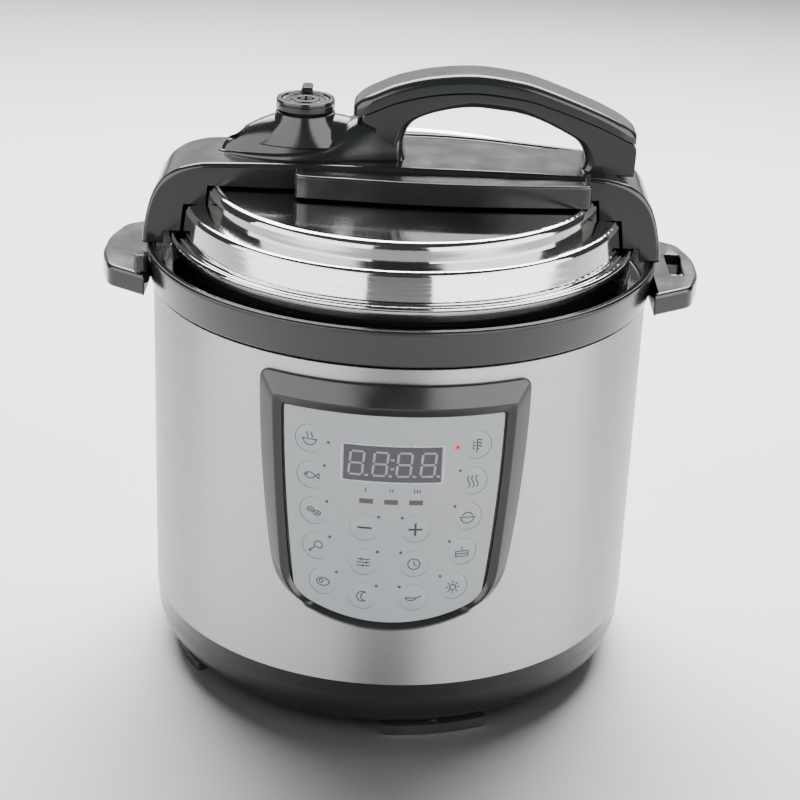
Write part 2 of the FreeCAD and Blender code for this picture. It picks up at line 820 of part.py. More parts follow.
def heating_element():
    """Tubular ring in the plate's groove, with two terminals through the housing floor."""
    low = pot_z - plate_height
    ring = Part.makeTorus(element_radius, element_tube, V(0, 0, low))
    pins = []
    for angle in (80, 100):
        spot = polar(element_radius, angle, housing_floor - 5.0)
        pins.append(rod(1.8, spot, V(spot.x, spot.y, low)))
    return joined([ring] + pins)


def sensor_cap():
    """Cup-shaped temperature sensor that the pot presses down."""
    top = pot_z - fit_gap
    low = top - 7.0
    cap = rounded(Part.makeCylinder(sensor_radius, 7.0, V(0, 0, low)), 1.0, level_at(top))
    return cap.cut(rod(sensor_radius - 2.0, V(0, 0, low - 1), V(0, 0, top - 1.5)))


def sensor_spring():
    """Compression spring between the housing floor and the sensor cap."""
    low = housing_floor + housing_wall + spring_wire
    high = pot_z - fit_gap - 1.5 - spring_wire
    return coil(spring_radius, spring_wire, low, high)


def coil(radius, wire, low, high):
    """Round-wire helix between two heights."""
    helix = Part.makeHelix((high - low) / spring_turns, high - low, radius)
    helix.translate(V(0, 0, low))
    start = V(radius, 0, low)
    circle = Part.Wire(Part.Circle(start, V(0, 1, 0), wire).toShape())
    return Part.Wire(helix).makePipeShell([circle], True, True)


def pressure_switch():
    """Switch block screwed under the housing floor."""
    low = housing_floor - shield_drop + 1.0
    body = block((26.0, 50.0), (-7.0, 7.0), (low, housing_floor))
    return rounded(body, 1.0, upright)


# ---------------------------------------------------------------- electrics
def power_board():
    """Board on four standoffs with relay, capacitor and transformer."""
    low = base_z + base_wall
    z = low + power_board_lift
    half_x, half_y = power_board_size[0] / 2, power_board_size[1] / 2
    board = block((-half_x, half_x), (-half_y, half_y), (z, z + board_thickness))
    top = z + board_thickness
    posts = [rod(3.0, V(x, y, low), V(x, y, z)) for x in (5 - half_x, half_x - 5) for y in (5 - half_y, half_y - 5)]
    relay = block((-38, -12), (-20, 0), (top, top + 10))
    transformer = block((6, 34), (-24, 4), (top, top + 11))
    capacitor = rod(6.0, V(-20, 20, top), V(-20, 20, top + 10))
    terminal = block((0, 36), (20, 30), (top, top + 8))
    return joined([board, relay, transformer, capacitor, terminal] + posts)


def inlet_box(margin):
    """Outline of the mains inlet."""
    low = shell_z + inlet_rise
    return block((-inlet_half_width - margin, inlet_half_width + margin),
                 (shell_inside - 1.0, shell_radius + inlet_proud), (low - margin, low + inlet_height + margin))


def inlet_middle():
    """Height of the socket's middle."""
    return shell_z + inlet_rise + inlet_height / 2


def inlet_back():
    """Depth of the inside end of the inlet."""
    return shell_radius + inlet_proud - inlet_depth - 1.4


def power_inlet():
    """Recessed three-pin mains inlet with a flange on the shell."""
    z = inlet_middle()
    flange = rounded(inlet_box(0), 4.0, lambda e: e.BoundBox.YLength > 3 and e.BoundBox.XLength < 1e-6
                     and e.BoundBox.ZLength < 1e-6)
    flange = flange.cut(Part.makeCylinder(shell_radius + peg_gap, 400, V(0, 0, 0)))
    body = block((-inlet_half_width + 4, inlet_half_width - 4), (inlet_back(), shell_radius + 1.5),
                 (z - inlet_height / 2 + 3, z + inlet_height / 2 - 3))
    half_x, half_z = inlet_recess
    face = shell_radius + inlet_proud
    recess = block((-half_x, half_x), (face - inlet_depth, face + 1), (z - half_z, z + half_z))
    slots = [rod(1.2, V(x, inlet_back() - 1, z + dz), V(x, face, z + dz)) for x, dz in pin_places()]
    return joined([flange, body]).cut(recess).cut(group(slots))


def pin_places():
    """Places of the three inlet pins from the socket's middle."""
    return [(-7.0, -2.0), (0.0, 2.0), (7.0, -2.0)]


def inlet_pins():
    """Three contact pins pressed into the inlet."""
    z = inlet_middle()
    face = shell_radius + inlet_proud
    return group([rod(1.2, V(x, inlet_back() - 0.4, z + dz), V(x, face - 4.0, z + dz))
                  for x, dz in pin_places()])


def wire_path(points, radius):
    """Round wire along straight runs joined by an arc at the middle point."""
    a, b, c = points
    before = a.sub(b).normalize()
    after = c.sub(b).normalize()
    start = b + before * radius
    end = b + after * radius
    middle = b + (before + after) * (radius * (1 - math.sqrt(0.5)))
    path = Part.Wire([Part.LineSegment(a, start).toShape(), Part.Arc(start, middle, end).toShape(),
                      Part.LineSegment(end, c).toShape()])
    circle = Part.Wire(Part.Circle(a, b.sub(a), wire_radius).toShape())
    return path.makePipeShell([circle], True, True)


def wiring():
    """Three mains leads from the inlet and a control lead from the board, along the pan."""
    board_edge = power_board_size[1] / 2
    z = base_z + base_wall + power_board_lift + board_thickness / 2
    y = inlet_back() + 5.0
    top = inlet_middle() - inlet_height / 2 + 3
    leads = [wire_path([V(x, y, top), V(x, y, z), V(x, board_edge, z)], 8.0) for x in (8.0, 14.0, 20.0)]
    front = -board_front + board_thickness / 2
    leads.append(wire_path([V(0, front, board_low()), V(0, front, z), V(0, -board_edge, z)], 8.0))
    return group(leads)


# ---------------------------------------------------------------- lid
def lid_profile():
    """Outer profile of the lid stamping, from the axis to the brim."""
    roll_mid = brim_radius - 1.2
    return [(0, disc_z), (disc_radius - 2.0, disc_z), (disc_radius, lid_top),
            (upper_wall - 1.2, lid_top - 1.0, upper_wall, lid_top - 3.6), (upper_wall + 0.5, ledge_z + 0.8),
            (lower_wall - lower_wall_lean - 3.0, ledge_z),
            (lower_wall - lower_wall_lean - 0.9, ledge_z - 0.7, lower_wall - lower_wall_lean, ledge_z - 2.4),
            (lower_wall, brim_top + 0.6), (lower_wall + 1.4, valley_z + 0.3, lower_wall + 3.2, valley_z + 0.9),
            (roll_mid, brim_top, brim_radius, brim_top - 2.4), (brim_radius, brim_low)]


def lid_shell():
    """Lid stamping with a rolled brim, a skirt and six inward bayonet tabs."""
    t = lid_wall
    low = brim_top - 3.2 - skirt_height
    steps = lid_profile()
    steps += [(skirt_radius, brim_low), (skirt_radius, low), (skirt_inside, low), (skirt_inside, valley_z - t),
              (lower_wall - t, valley_z - t), (lower_wall - lower_wall_lean - t, ledge_z - 2.8),
              (lower_wall - lower_wall_lean - 3.2, ledge_z - t), (upper_wall - t, ledge_z - t),
              (upper_wall - t, lid_top - 3.6), (disc_radius - 1.0, disc_z - t), (0, disc_z - t)]
    lid = spin(steps)
    tabs = []
    for index in range(tab_count):
        middle = (index + 0.5) * 360.0 / tab_count
        tabs.append(sector(skirt_inside + 0.5, housing_radius + 2.0, lid_tab_low(), lid_tab_low() + tab_thickness,
                           middle, lid_tab_arc))
    lid = joined([lid] + tabs)
    cuts = [rod(pipe_radius + 0.2, V(valve_x, 0, disc_z - 5), V(valve_x, 0, disc_z + 5)),
            rod(float_radius + fit_gap, V(float_x, 0, disc_z - 5), V(float_x, 0, disc_z + 5))]
    cuts += [rod(lid_screw_radius + 0.2, V(x, y, disc_z - 5), V(x, y, disc_z + 5)) for x, y in lid_screw_spots()]
    return lid.cut(group(cuts))


def lid_tab_low():
    """Lower face of the lid's tabs, below the housing's tabs."""
    return housing_top - 2 * tab_thickness - lid_tab_drop


def lid_screw_spots():
    """Places of the four lid screws."""
    return [(x, y) for x in lid_screw_x for y in (-lid_screw_y, lid_screw_y)]


def lid_space():
    """The lid's outside with the clearance that the bridge and the plate keep."""
    c = lid_clearance
    low = collar_top - 10
    return spin([(0, low), (brim_radius + c, low), (brim_radius + c, brim_top + c), (lower_wall + c, brim_top + c),
                 (lower_wall - lower_wall_lean + c, ledge_z + c), (upper_wall + 0.5 + c, ledge_z + 0.8 + c),
                 (upper_wall + c, lid_top + c), (0, lid_top + c)])


def sealing_ring():
    """Silicone ring with a groove for the rack wire."""
    outer = pot_radius + pot_rim_width + 1.0
    low = pot_top + seal_clearance
    ring = tube(outer, outer - seal_width, low, low + seal_height)
    groove = Part.makeTorus(outer - seal_width, rack_wire + fit_gap, V(0, 0, low + seal_height * 0.6))
    slit = tube(outer - 2.5, outer - 6.0, low - 1, low + 4.0)
    return ring.cut(groove).cut(slit)


def ring_rack():
    """Wire ring with six feet welded under the lid."""
    radius = pot_radius + pot_rim_width + 1.0 - seal_width
    z = pot_top + seal_clearance + seal_height * 0.6
    ring = Part.makeTorus(radius, rack_wire, V(0, 0, z))
    legs = []
    for index in range(tab_count):
        foot = polar(radius - rack_wire - 0.4, index * 360.0 / tab_count + 15.0, z)
        legs.append(rod(rack_wire, foot, V(foot.x, foot.y, rack_ceiling())))
    return joined([ring] + legs)


def rack_ceiling():
    """Underside of the lid above the rack's feet."""
    return disc_z - lid_wall


def exhaust_pipe():
    """Steam pipe with a flange on the lid, under the knob."""
    top = neck_top + 0.3
    pipe = rod(pipe_radius, V(valve_x, 0, disc_z - 9), V(valve_x, 0, top))
    flange = rod(pipe_flange_radius, V(valve_x, 0, disc_z), V(valve_x, 0, disc_z + 2.4))
    bore = rod(pipe_bore, V(valve_x, 0, disc_z - 10), V(valve_x, 0, top + 1))
    return joined([pipe, flange]).cut(bore)


def exhaust_nut():
    """Hexagon nut under the lid."""
    top = disc_z - lid_wall
    r = nut_across / math.sqrt(3)
    corners = [(valve_x + r * math.cos(math.radians(60 * k)), r * math.sin(math.radians(60 * k))) for k in range(6)]
    nut = slab(corners, top - nut_height, top)
    return nut.cut(rod(pipe_radius, V(valve_x, 0, top - 9), V(valve_x, 0, top + 1)))


def anti_block_shield():
    """Slotted cap that keeps food out of the exhaust."""
    top = disc_z - lid_wall
    cap = rod(shield_radius, V(valve_x, 0, top - shield_height), V(valve_x, 0, top))
    cap = rounded(cap, 3.0, level_at(top - shield_height))
    hollow = rod(shield_radius - 1.2, V(valve_x, 0, top - shield_height + 1.5), V(valve_x, 0, top + 1))
    slots = []
    for index in range(8):
        slot = block((-1.0, 1.0), (4.0, shield_radius + 2), (top - shield_height + 4, top - 4))
        slot.rotate(V(0, 0, 0), UP, index * 45.0)
        slot.translate(V(valve_x, 0, 0))
        slots.append(slot)
    return cap.cut(hollow).cut(group(slots))


def float_valve():
    """Pin that rises with pressure."""
    low = disc_z - lid_wall - float_travel - fit_gap - 3.0
    pin = rod(float_radius, V(float_x, 0, low), V(float_x, 0, disc_z + 14))
    head = rod(float_head_radius, V(float_x, 0, disc_z + fit_gap), V(float_x, 0, disc_z + 2.6))
    pin = rounded(joined([pin, head]), 1.2, level_at(disc_z + 14))
    return pin


def float_seal():
    """Silicone cap on the pin's lower end."""
    top = disc_z - lid_wall - float_travel - fit_gap
    cap = rod(float_seal_radius, V(float_x, 0, top - 5.0), V(float_x, 0, top))
    return cap.cut(rod(float_radius, V(float_x, 0, top - 3.0), V(float_x, 0, top + 1)))


def lid_screws():
    """Four screws from under the lid into the bridge."""
    screws = []
    low = disc_z - lid_wall
    for x, y in lid_screw_spots():
        head = rod(lid_screw_radius * 1.9, V(x, y, low - 2.0), V(x, y, low))
        shank = rod(lid_screw_radius, V(x, y, low - 1), V(x, y, bridge_top - 3.0))
        screws.append(joined([head, shank]))
    return group(screws)


# ---------------------------------------------------------------- bridge and handle
def bridge_body(half_width, drop):
    """Side profile of the bridge, drawn down by drop and carried across."""
    end = bridge_end - drop
    top = bridge_top - drop
    knee = (brim_radius + 6.0 - drop, ledge_z + 4.0 - drop)
    flat = brim_radius - 18.0
    return side_slab([(-end, bridge_low), (end, bridge_low),
                      (end - 1.4, bridge_low + 12.0, knee[0], knee[1]),
                      (brim_radius - 3.2 - drop, top - 4.6, flat - drop, top), (drop - flat, top),
                      (3.2 + drop - brim_radius, top - 4.6, -knee[0], knee[1]),
                      (1.4 - end, bridge_low + 12.0, -end, bridge_low)], half_width)


def straps(margin):
    """Three cross straps of the wing plate under the bridge."""
    low = lid_top + lid_clearance
    solids = []
    for x in (valve_x + 36.0, 20.0, handle_right - handle_right_leg - 12.0):
        half = strap_width / 2 + margin
        solids.append(block((x - half, x + half), (-bridge_half_width - 4, bridge_half_width + 4),
                            (low - margin, low + strap_height + margin)))
    return group(solids)


def lid_bridge():
    """Long hollow bridge over the lid with ends that turn down outside the brim."""
    bridge = bridge_body(bridge_half_width, 0)
    bridge = bridge.cut(lid_space())
    reach = disc_radius - 6.0
    pocket = block((-reach, reach), (-bridge_half_width + bridge_wall, bridge_half_width - bridge_wall),
                   (lid_top - 5, bridge_top - bridge_wall))
    posts = [rod(lid_screw_radius + 2.5, V(x, y, lid_top + lid_clearance), V(x, y, bridge_top - 1))
             for x, y in lid_screw_spots()]
    bridge = joined([bridge.cut(pocket)] + posts)
    cuts = [straps(fit_gap)]
    cuts += [rod(lid_screw_radius, V(x, y, lid_top - 2), V(x, y, bridge_top - 3.0)) for x, y in lid_screw_spots()]
    cuts.append(rod(pipe_flange_radius + 1, V(valve_x, 0, lid_top - 2), V(valve_x, 0, bridge_top + 1)))
    cuts.append(rod(float_head_radius + 1, V(float_x, 0, lid_top - 2), V(float_x, 0, bridge_top + 1)))
    return bridge.cut(group(cuts))


def wing_outline(inset):
    """Plan of the wing plate, drawn in by inset."""
    left = valve_x - 3.0 + inset
    right = handle_right - handle_right_leg + 2.6 - inset
    edge = bridge_half_width - inset
    middle = 0.5 * (left + right)
    return [(left, -edge - wing_end), (middle, -edge - wing_overhang, right, -edge - wing_end),
            (right, edge + wing_rear_end), (middle, edge + wing_overhang, left, edge + wing_end)]


def bridge_plate():
    """Wing plate in front of and behind the bridge, tied by three straps."""
    low = lid_top + lid_clearance
    plate = rounded(slab(wing_outline(0), low, bridge_top), wing_corner, upright)
    dish = rounded(slab(wing_outline(wing_rim), bridge_top - wing_dish, bridge_top + 1), wing_corner - wing_rim,
                   upright)
    hollow = rounded(slab(wing_outline(wing_rim), low - 1, bridge_top - wing_dish - wing_rim),
                     wing_corner - wing_rim, upright)
    channel = block((-200, 200), (-bridge_half_width - fit_gap, bridge_half_width + fit_gap),
                    (low - 1, bridge_top + 1))
    inner_wall = bridge_half_width + fit_gap + wing_rim
    hollow = hollow.cut(block((-200, 200), (-inner_wall, inner_wall), (low - 2, bridge_top + 1)))
    wings = plate.cut(group([dish, channel])).cut(hollow)
    outline = rounded(slab(wing_outline(0), low, bridge_top), wing_corner, upright)
    return joined(list(wings.Solids) + [s.common(outline) for s in straps(0).Solids])


def valve_cover():
    """Boat-shaped cover around the valves with a round neck under the knob."""
    tail = valve_x + cover_tail
    nose = valve_x - cover_nose
    half = cover_half_width
    waist = valve_x - 5.0
    plan = slab([(tail, -half + 4.0), (valve_x + 15.0, -half - 0.3, waist, -half),
                 (valve_x - 31.0, -half + 6.0, nose, 0), (valve_x - 31.0, half - 6.0, waist, half),
                 (valve_x + 15.0, half + 0.3, tail, half - 4.0)], bridge_top, cover_top + 5)
    side = side_slab([(nose - 1, bridge_top - 1), (nose - 1, bridge_top + 2.4),
                      (valve_x - 32.0, cover_top - 4.7, valve_x - 13.0, cover_top - 0.3), (tail, cover_top),
                      (tail, bridge_top - 1)], half + 10)
    body = plan.common(side)
    neck = Part.makeCone(neck_radius + 2.5, neck_radius, neck_height + 4, V(valve_x, 0, neck_top - neck_height - 4))
    body = joined([body, neck])
    inner = slab([(tail - 3, -half + 7.0), (waist, -half + 3.5), (nose + 22.0, -4.0), (nose + 22.0, 4.0),
                  (waist, half - 3.5), (tail - 3, half - 7.0)], bridge_top - 1, cover_top - 10.0)
    sight = rod(6.0, V(float_x + 1.0, 0, bridge_top + 5.0), V(float_x - 12.0, 0, bridge_top + 27.1))
    well = rod(float_head_radius + 1, V(float_x, 0, bridge_top - 1), V(float_x, 0, bridge_top + 7.0))
    bore = rod(pipe_radius + fit_gap, V(valve_x, 0, bridge_top - 1), V(valve_x, 0, neck_top + 5))
    return body.cut(group([inner, well])).cut(sight).cut(bore)


def handle_outline(drop):
    """Side outline of the handle's upper line, lowered by drop: nose, crown and right shoulder."""
    nose_x = handle_left - handle_nose
    crown = bridge_top + handle_rise - drop
    span = handle_right - handle_left
    return [V(nose_x, 0, crown - 17.0), V(handle_left + 0.07 * span, 0, crown - 6.3),
            V(handle_left + 0.2 * span, 0, crown - 1.8), V(handle_left + 0.36 * span, 0, crown),
            V(handle_left + 0.62 * span, 0, crown - 5.3), V(handle_left + 0.84 * span, 0, crown - 16.5),
            V(handle_right, 0, crown - 27.5)]


def upper_line(drop):
    """Smooth curve through the handle's upper line."""
    curve = Part.BSplineCurve()
    curve.interpolate(handle_outline(drop))
    return curve.toShape()


def handle_body():
    """Whole handle before it is split into arch and cap."""
    top = upper_line(0)
    line = handle_outline(0)
    foot_z = bridge_top - 6.0
    nose_x = handle_left - handle_nose
    corners = [line[-1], V(handle_right + 0.6, 0, foot_z), V(handle_left, 0, foot_z),
               V(handle_left - 2.0, 0, cover_top + 0.5), V(nose_x - 1.0, 0, cover_top + 4.0), line[0]]
    sides = [Part.LineSegment(a, b).toShape() for a, b in zip(corners[:-1], corners[1:])]
    face = Part.Face(Part.Wire([top] + sides))
    solid = face.extrude(V(0, 2 * handle_half_width, 0))
    solid.translate(V(0, -handle_half_width, 0))
    return solid


def handle_opening():
    """Finger opening under the handle."""
    left = handle_left + handle_left_leg
    right = handle_right - handle_right_leg
    crown = bridge_top + handle_rise - handle_thickness
    span = right - left
    spots = [V(left, 0, bridge_top + 4.0), V(left + 0.045 * span, 0, bridge_top + 22.0),
             V(left + 0.17 * span, 0, crown - 3.2), V(left + 0.42 * span, 0, crown),
             V(left + 0.68 * span, 0, crown - 3.0), V(left + 0.9 * span, 0, crown - 12.5),
             V(right, 0, bridge_top + 4.0)]
    curve = Part.BSplineCurve()
    curve.interpolate(spots)
    low = bridge_top - 8.0
    sides = [Part.LineSegment(spots[-1], V(right, 0, low)).toShape(),
             Part.LineSegment(V(right, 0, low), V(left, 0, low)).toShape(),
             Part.LineSegment(V(left, 0, low), spots[0]).toShape()]
    solid = Part.Face(Part.Wire([curve.toShape()] + sides)).extrude(V(0, 4 * handle_half_width, 0))
    solid.translate(V(0, -2 * handle_half_width, 0))
    return solid


def cap_zone():
    """Space above the parting line between arch and cap."""
    line = upper_line(cap_thickness)
    first = line.valueAt(line.FirstParameter)
    last = line.valueAt(line.LastParameter)
    high = bridge_top + handle_rise + 30
    left_x = first.x - 20
    right_x = last.x + 20
    steps = [last, V(right_x, 0, last.z), V(right_x, 0, high), V(left_x, 0, high), V(left_x, 0, first.z), first]
    sides = [Part.LineSegment(a, b).toShape() for a, b in zip(steps[:-1], steps[1:])]
    solid = Part.Face(Part.Wire([line] + sides)).extrude(V(0, 6 * handle_half_width, 0))
    solid.translate(V(0, -3 * handle_half_width, 0))
    return solid


def handle_arch():
    """Arch of the handle: two legs and the lower half of the grip."""
    arch = handle_body().cut(handle_opening()).cut(cap_zone())
    return arch.cut(bridge_body(bridge_half_width + 5, 0)).cut(valve_cover())


def handle_cap():
    """Top cap of the handle."""
    return handle_body().common(cap_zone())


def pressure_knob():
    """Round steam knob with a thumb tab pointing back."""
    top = knob_z + knob_height
    seat = knob_z + knob_pocket
    r = knob_radius
    knob = spin([(9.1, knob_z), (r - 1.0, knob_z), (r, knob_z + 1.0), (r, top - 1.0), (r - 1.0, top),
                 (r - 4.0, top), (r - 4.5, top - 1.2), (0, top - 1.2), (0, seat), (9.1, seat)])
    half = knob_tab_width / 2
    tab = block((-half, half), (r - 3.0, r + knob_tab_length), (knob_z + 1.0, top + knob_tab_rise))
    tab = rounded(tab, 1.5, upright)
    knob = joined([knob, tab])
    knob.translate(V(valve_x, 0, 0))
    return knob


def knob_weight():
    """Steel weight in the knob that closes the steam pipe."""
    low = neck_top + fit_gap + 0.4
    return rod(9.0, V(valve_x, 0, low), V(valve_x, 0, knob_z + knob_pocket))


# ---------------------------------------------------------------- build
PIECES = [base_pan, feet, base_screws, pot_brackets, heat_shield, outer_pot, inner_pot, outer_shell, top_collar,
          condensate_cup, interlock_slider, lid_sensor, panel_frame, panel_overlay, membrane_circuit,
          display_window, display_module, indicator_leds, control_board, heating_plate, heating_element,
          sensor_cap, sensor_spring, pressure_switch, power_board, power_inlet, inlet_pins, wiring, lid_shell,
          sealing_ring, ring_rack, exhaust_pipe, exhaust_nut, anti_block_shield, float_valve, float_seal,
          lid_screws, lid_bridge, bridge_plate, valve_cover, handle_arch, handle_cap, pressure_knob, knob_weight]


def main():
    """Build every piece and write it as a STEP file."""
    os.makedirs("parts", exist_ok=True)
    shapes = {piece.__name__: piece() for piece in PIECES}
    for name, arc, z in key_places():
        shapes[name] = key(arc, z)
    for name, shape in shapes.items():
        print(name, len(shape.Solids), round(shape.Volume, 1), shape.isValid())
        shape.exportStep("parts/" + name + ".step")


main()
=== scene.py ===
"""Looks of an electric pressure cooker: steel body, charcoal plastics, keypad, stepped lid and arched handle.

Lengths are in metres in the frame's own axes: +Z up, -Y to the front, +X to the right-hand lug. Places are
worked out from the frame's nodes, and every new surface is a grid or a carried profile computed with numpy.
"""
import logging
import math
from dataclasses import dataclass, field
from enum import Enum
from typing import Iterable, Optional, Sequence

import bmesh
import bpy
import numpy as np
from mathutils import Matrix, Vector


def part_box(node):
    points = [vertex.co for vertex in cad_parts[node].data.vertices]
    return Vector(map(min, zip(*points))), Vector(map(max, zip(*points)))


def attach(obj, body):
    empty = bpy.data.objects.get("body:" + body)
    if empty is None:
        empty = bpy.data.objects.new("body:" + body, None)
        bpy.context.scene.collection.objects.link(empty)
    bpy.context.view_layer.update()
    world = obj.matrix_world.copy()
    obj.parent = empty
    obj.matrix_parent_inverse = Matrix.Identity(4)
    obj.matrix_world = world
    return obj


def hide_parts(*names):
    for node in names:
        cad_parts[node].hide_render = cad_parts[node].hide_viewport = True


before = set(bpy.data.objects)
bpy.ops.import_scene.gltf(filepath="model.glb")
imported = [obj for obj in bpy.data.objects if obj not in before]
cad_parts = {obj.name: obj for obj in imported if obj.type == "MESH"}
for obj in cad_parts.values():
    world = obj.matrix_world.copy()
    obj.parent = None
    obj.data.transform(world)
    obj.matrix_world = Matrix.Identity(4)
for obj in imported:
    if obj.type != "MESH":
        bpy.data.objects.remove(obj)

log = logging.getLogger("cooker")
MM = 0.001
Array = np.ndarray
Colour = tuple[float, float, float]


# ---------------------------------------------------------------- curves and outlines
def rounded_line(points: Sequence[Sequence[float]], radii: Sequence[float], closed: bool = False,
                 steps: int = 6) -> Array:
    """Polyline whose corners are rounded by arcs.

    Each corner is replaced by the arc that is tangent to both of its sides at the distance
    radius * tan(turn / 2) from the corner.

    Args:
        points: The corners, in two or three coordinates.
        radii: One radius for each corner; the ends of an open line keep their point.
        closed: True if the last corner joins the first.
        steps: Spans in each arc.

    Returns:
        The rounded line's points, one per row.
    """
    corners = np.asarray(points, float)
    count = len(corners)
    out = []
    for index in range(count):
        here = corners[index]
        if not closed and index in (0, count - 1):
            out.append(here[None])
            continue
        before = corners[index - 1] - here
        after = corners[(index + 1) % count] - here
        room = 0.49 * min(np.linalg.norm(before), np.linalg.norm(after))
        before = before / np.linalg.norm(before)
        after = after / np.linalg.norm(after)
        half = 0.5 * math.acos(float(np.clip(before @ after, -1.0, 1.0)))
        if radii[index] <= 0 or half > 1.56:
            out.append(here[None])
            continue
        reach = min(radii[index] / math.tan(half), room)
        radius = reach * math.tan(half)
        middle = here + (before + after) / np.linalg.norm(before + after) * radius / math.sin(half)
        start = here + before * reach - middle
        end = here + after * reach - middle
        turn = math.pi - 2 * half
        share = np.linspace(0.0, 1.0, steps + 1)[:, None]
        swept = np.sin((1 - share) * turn) * start + np.sin(share * turn) * end
        out.append(middle + swept / math.sin(turn))
    return np.concatenate(out)


def smooth_line(points: Sequence[Sequence[float]], spans: int = 12) -> Array:
    """Catmull-Rom curve through points, with its end tangents taken from the end spans.

    Args:
        points: The points that the curve passes through.
        spans: Spans between two neighbouring points.

    Returns:
        The curve's points, one per row.
    """
    p = np.asarray(points, float)
    p = np.vstack([2 * p[0] - p[1], p, 2 * p[-1] - p[-2]])
    t = np.linspace(0.0, 1.0, spans, endpoint=False)[None, :, None]
    a, b, c, d = (p[k:len(p) - 3 + k][:, None, :] for k in range(4))
    square = (2 * a - 5 * b + 4 * c - d) * t ** 2
    cube = (3 * b - a - 3 * c + d) * t ** 3
    curve = 0.5 * (2 * b + (c - a) * t + square + cube)
    return np.vstack([curve.reshape(-1, p.shape[1]), p[-2]])


def run_of(line: Array) -> Array:
    """Length from a line's start to each of its points."""
    return np.concatenate([[0.0], np.cumsum(np.linalg.norm(np.diff(line, axis=0), axis=1))])


def points_at(line: Array, marks: Array, spots: Array) -> Array:
    """Points of a line at spots, where marks says which value each point of the line stands for."""
    return np.stack([np.interp(spots, marks, line[:, k]) for k in range(line.shape[1])], axis=1)


def even_line(line: Array, count: int, closed: bool = False) -> Array:
    """Line resampled to evenly spaced points.

    Args:
        line: The line's points.
        count: How many points to return.
        closed: True if the line's last point joins its first.

    Returns:
        count points; a closed line leaves out the repeated last point.
    """
    full = np.vstack([line, line[:1]]) if closed else line
    run = run_of(full)
    spots = np.linspace(0.0, run[-1], count + 1)[:-1] if closed else np.linspace(0.0, run[-1], count)
    return points_at(full, run, spots)


def outward(outline: Array) -> Array:
    """Unit normals of a closed counter-clockwise plan outline: the tangent turned a quarter to the right."""
    tangent = np.roll(outline, -1, axis=0) - np.roll(outline, 1, axis=0)
    tangent /= np.maximum(np.linalg.norm(tangent, axis=1, keepdims=True), 1e-12)
    return np.stack([tangent[:, 1], -tangent[:, 0]], axis=1)


# ---------------------------------------------------------------- meshes
def mesh_object(name: str, verts: Array, faces: Iterable[Sequence[int]]) -> bpy.types.Object:
    """New smooth-shaded object at the origin.

    Args:
        name: Name of the object and its mesh.
        verts: Vertices, one per row.
        faces: Vertex numbers of each face, outward side counter-clockwise.

    Returns:
        The linked object.
    """
    mesh = bpy.data.meshes.new(name)
    mesh.from_pydata(np.asarray(verts, float).tolist(), [], [list(map(int, face)) for face in faces])
    mesh.polygons.foreach_set("use_smooth", np.ones(len(mesh.polygons), bool))
    mesh.update()
    obj = bpy.data.objects.new(name, mesh)
    bpy.context.scene.collection.objects.link(obj)
    return obj


def grid_faces(rows: int, columns: int, wrap_rows: bool, wrap_columns: bool) -> Array:
    """Quads of a grid of vertices stored row by row.

    Args:
        rows: Vertices along the first parameter.
        columns: Vertices along the second parameter.
        wrap_rows: True if the last row joins the first.
        wrap_columns: True if the last column joins the first.

    Returns:
        Four vertex numbers per row.
    """
    i = np.arange(rows if wrap_rows else rows - 1)[:, None]
    j = np.arange(columns if wrap_columns else columns - 1)[None, :]
    next_i, next_j = (i + 1) % rows, (j + 1) % columns
    quads = [i * columns + j, i * columns + next_j, next_i * columns + next_j, next_i * columns + j]
    return np.stack(quads, -1).reshape(-1, 4)


def grid_object(name: str, grid: Array, wrap_rows: bool = False, wrap_columns: bool = False,
                caps: bool = False) -> bpy.types.Object:
    """Object made of a grid of points, with optional flat faces over its first and last rows.

    Args:
        name: Name of the object.
        grid: Points as (rows, columns, 3).
        wrap_rows: True if the last row joins the first.
        wrap_columns: True if the last column joins the first.
        caps: True to close the first and last rows.

    Returns:
        The linked object, with outward faces.
    """
    rows, columns = grid.shape[:2]
    faces = grid_faces(rows, columns, wrap_rows, wrap_columns).tolist()
    if caps:
        faces.append(list(range(columns))[::-1])
        faces.append(list(range((rows - 1) * columns, rows * columns)))
    obj = mesh_object(name, grid.reshape(-1, 3), faces)
    point_outward(obj)
    return obj


def point_outward(obj: bpy.types.Object) -> None:
    """Merge doubled vertices and turn the faces of a closed shape outwards."""
    work = bmesh.new()
    work.from_mesh(obj.data)
    bmesh.ops.remove_doubles(work, verts=work.verts, dist=1e-7)
    bmesh.ops.recalc_face_normals(work, faces=work.faces)
    work.to_mesh(obj.data)
    work.free()


def spun(name: str, profile: Array, closed: bool = True, turns: int = 192) -> bpy.types.Object:
    """Surface of revolution: each profile point (r, z) is carried round as (r cos a, r sin a, z).

    Args:
        name: Name of the object.
        profile: Radius and height of each point.
        closed: True if the profile's last point joins its first.
        turns: Steps round the axis.

    Returns:
        The linked object.
    """
    angle = np.linspace(0.0, 2 * math.pi, turns, endpoint=False)
    r, z = profile[:, 0][:, None], profile[:, 1][:, None]
    grid = np.stack([r * np.cos(angle), r * np.sin(angle), z + 0 * angle], axis=-1)
    return grid_object(name, grid, wrap_rows=closed, wrap_columns=True)


def apply_modifiers(obj: bpy.types.Object) -> None:
    """Replace an object's mesh by its evaluated mesh and clear its modifiers."""
    depsgraph = bpy.context.evaluated_depsgraph_get()
    mesh = bpy.data.meshes.new_from_object(obj.evaluated_get(depsgraph))
    obj.modifiers.clear()
    obj.data = mesh


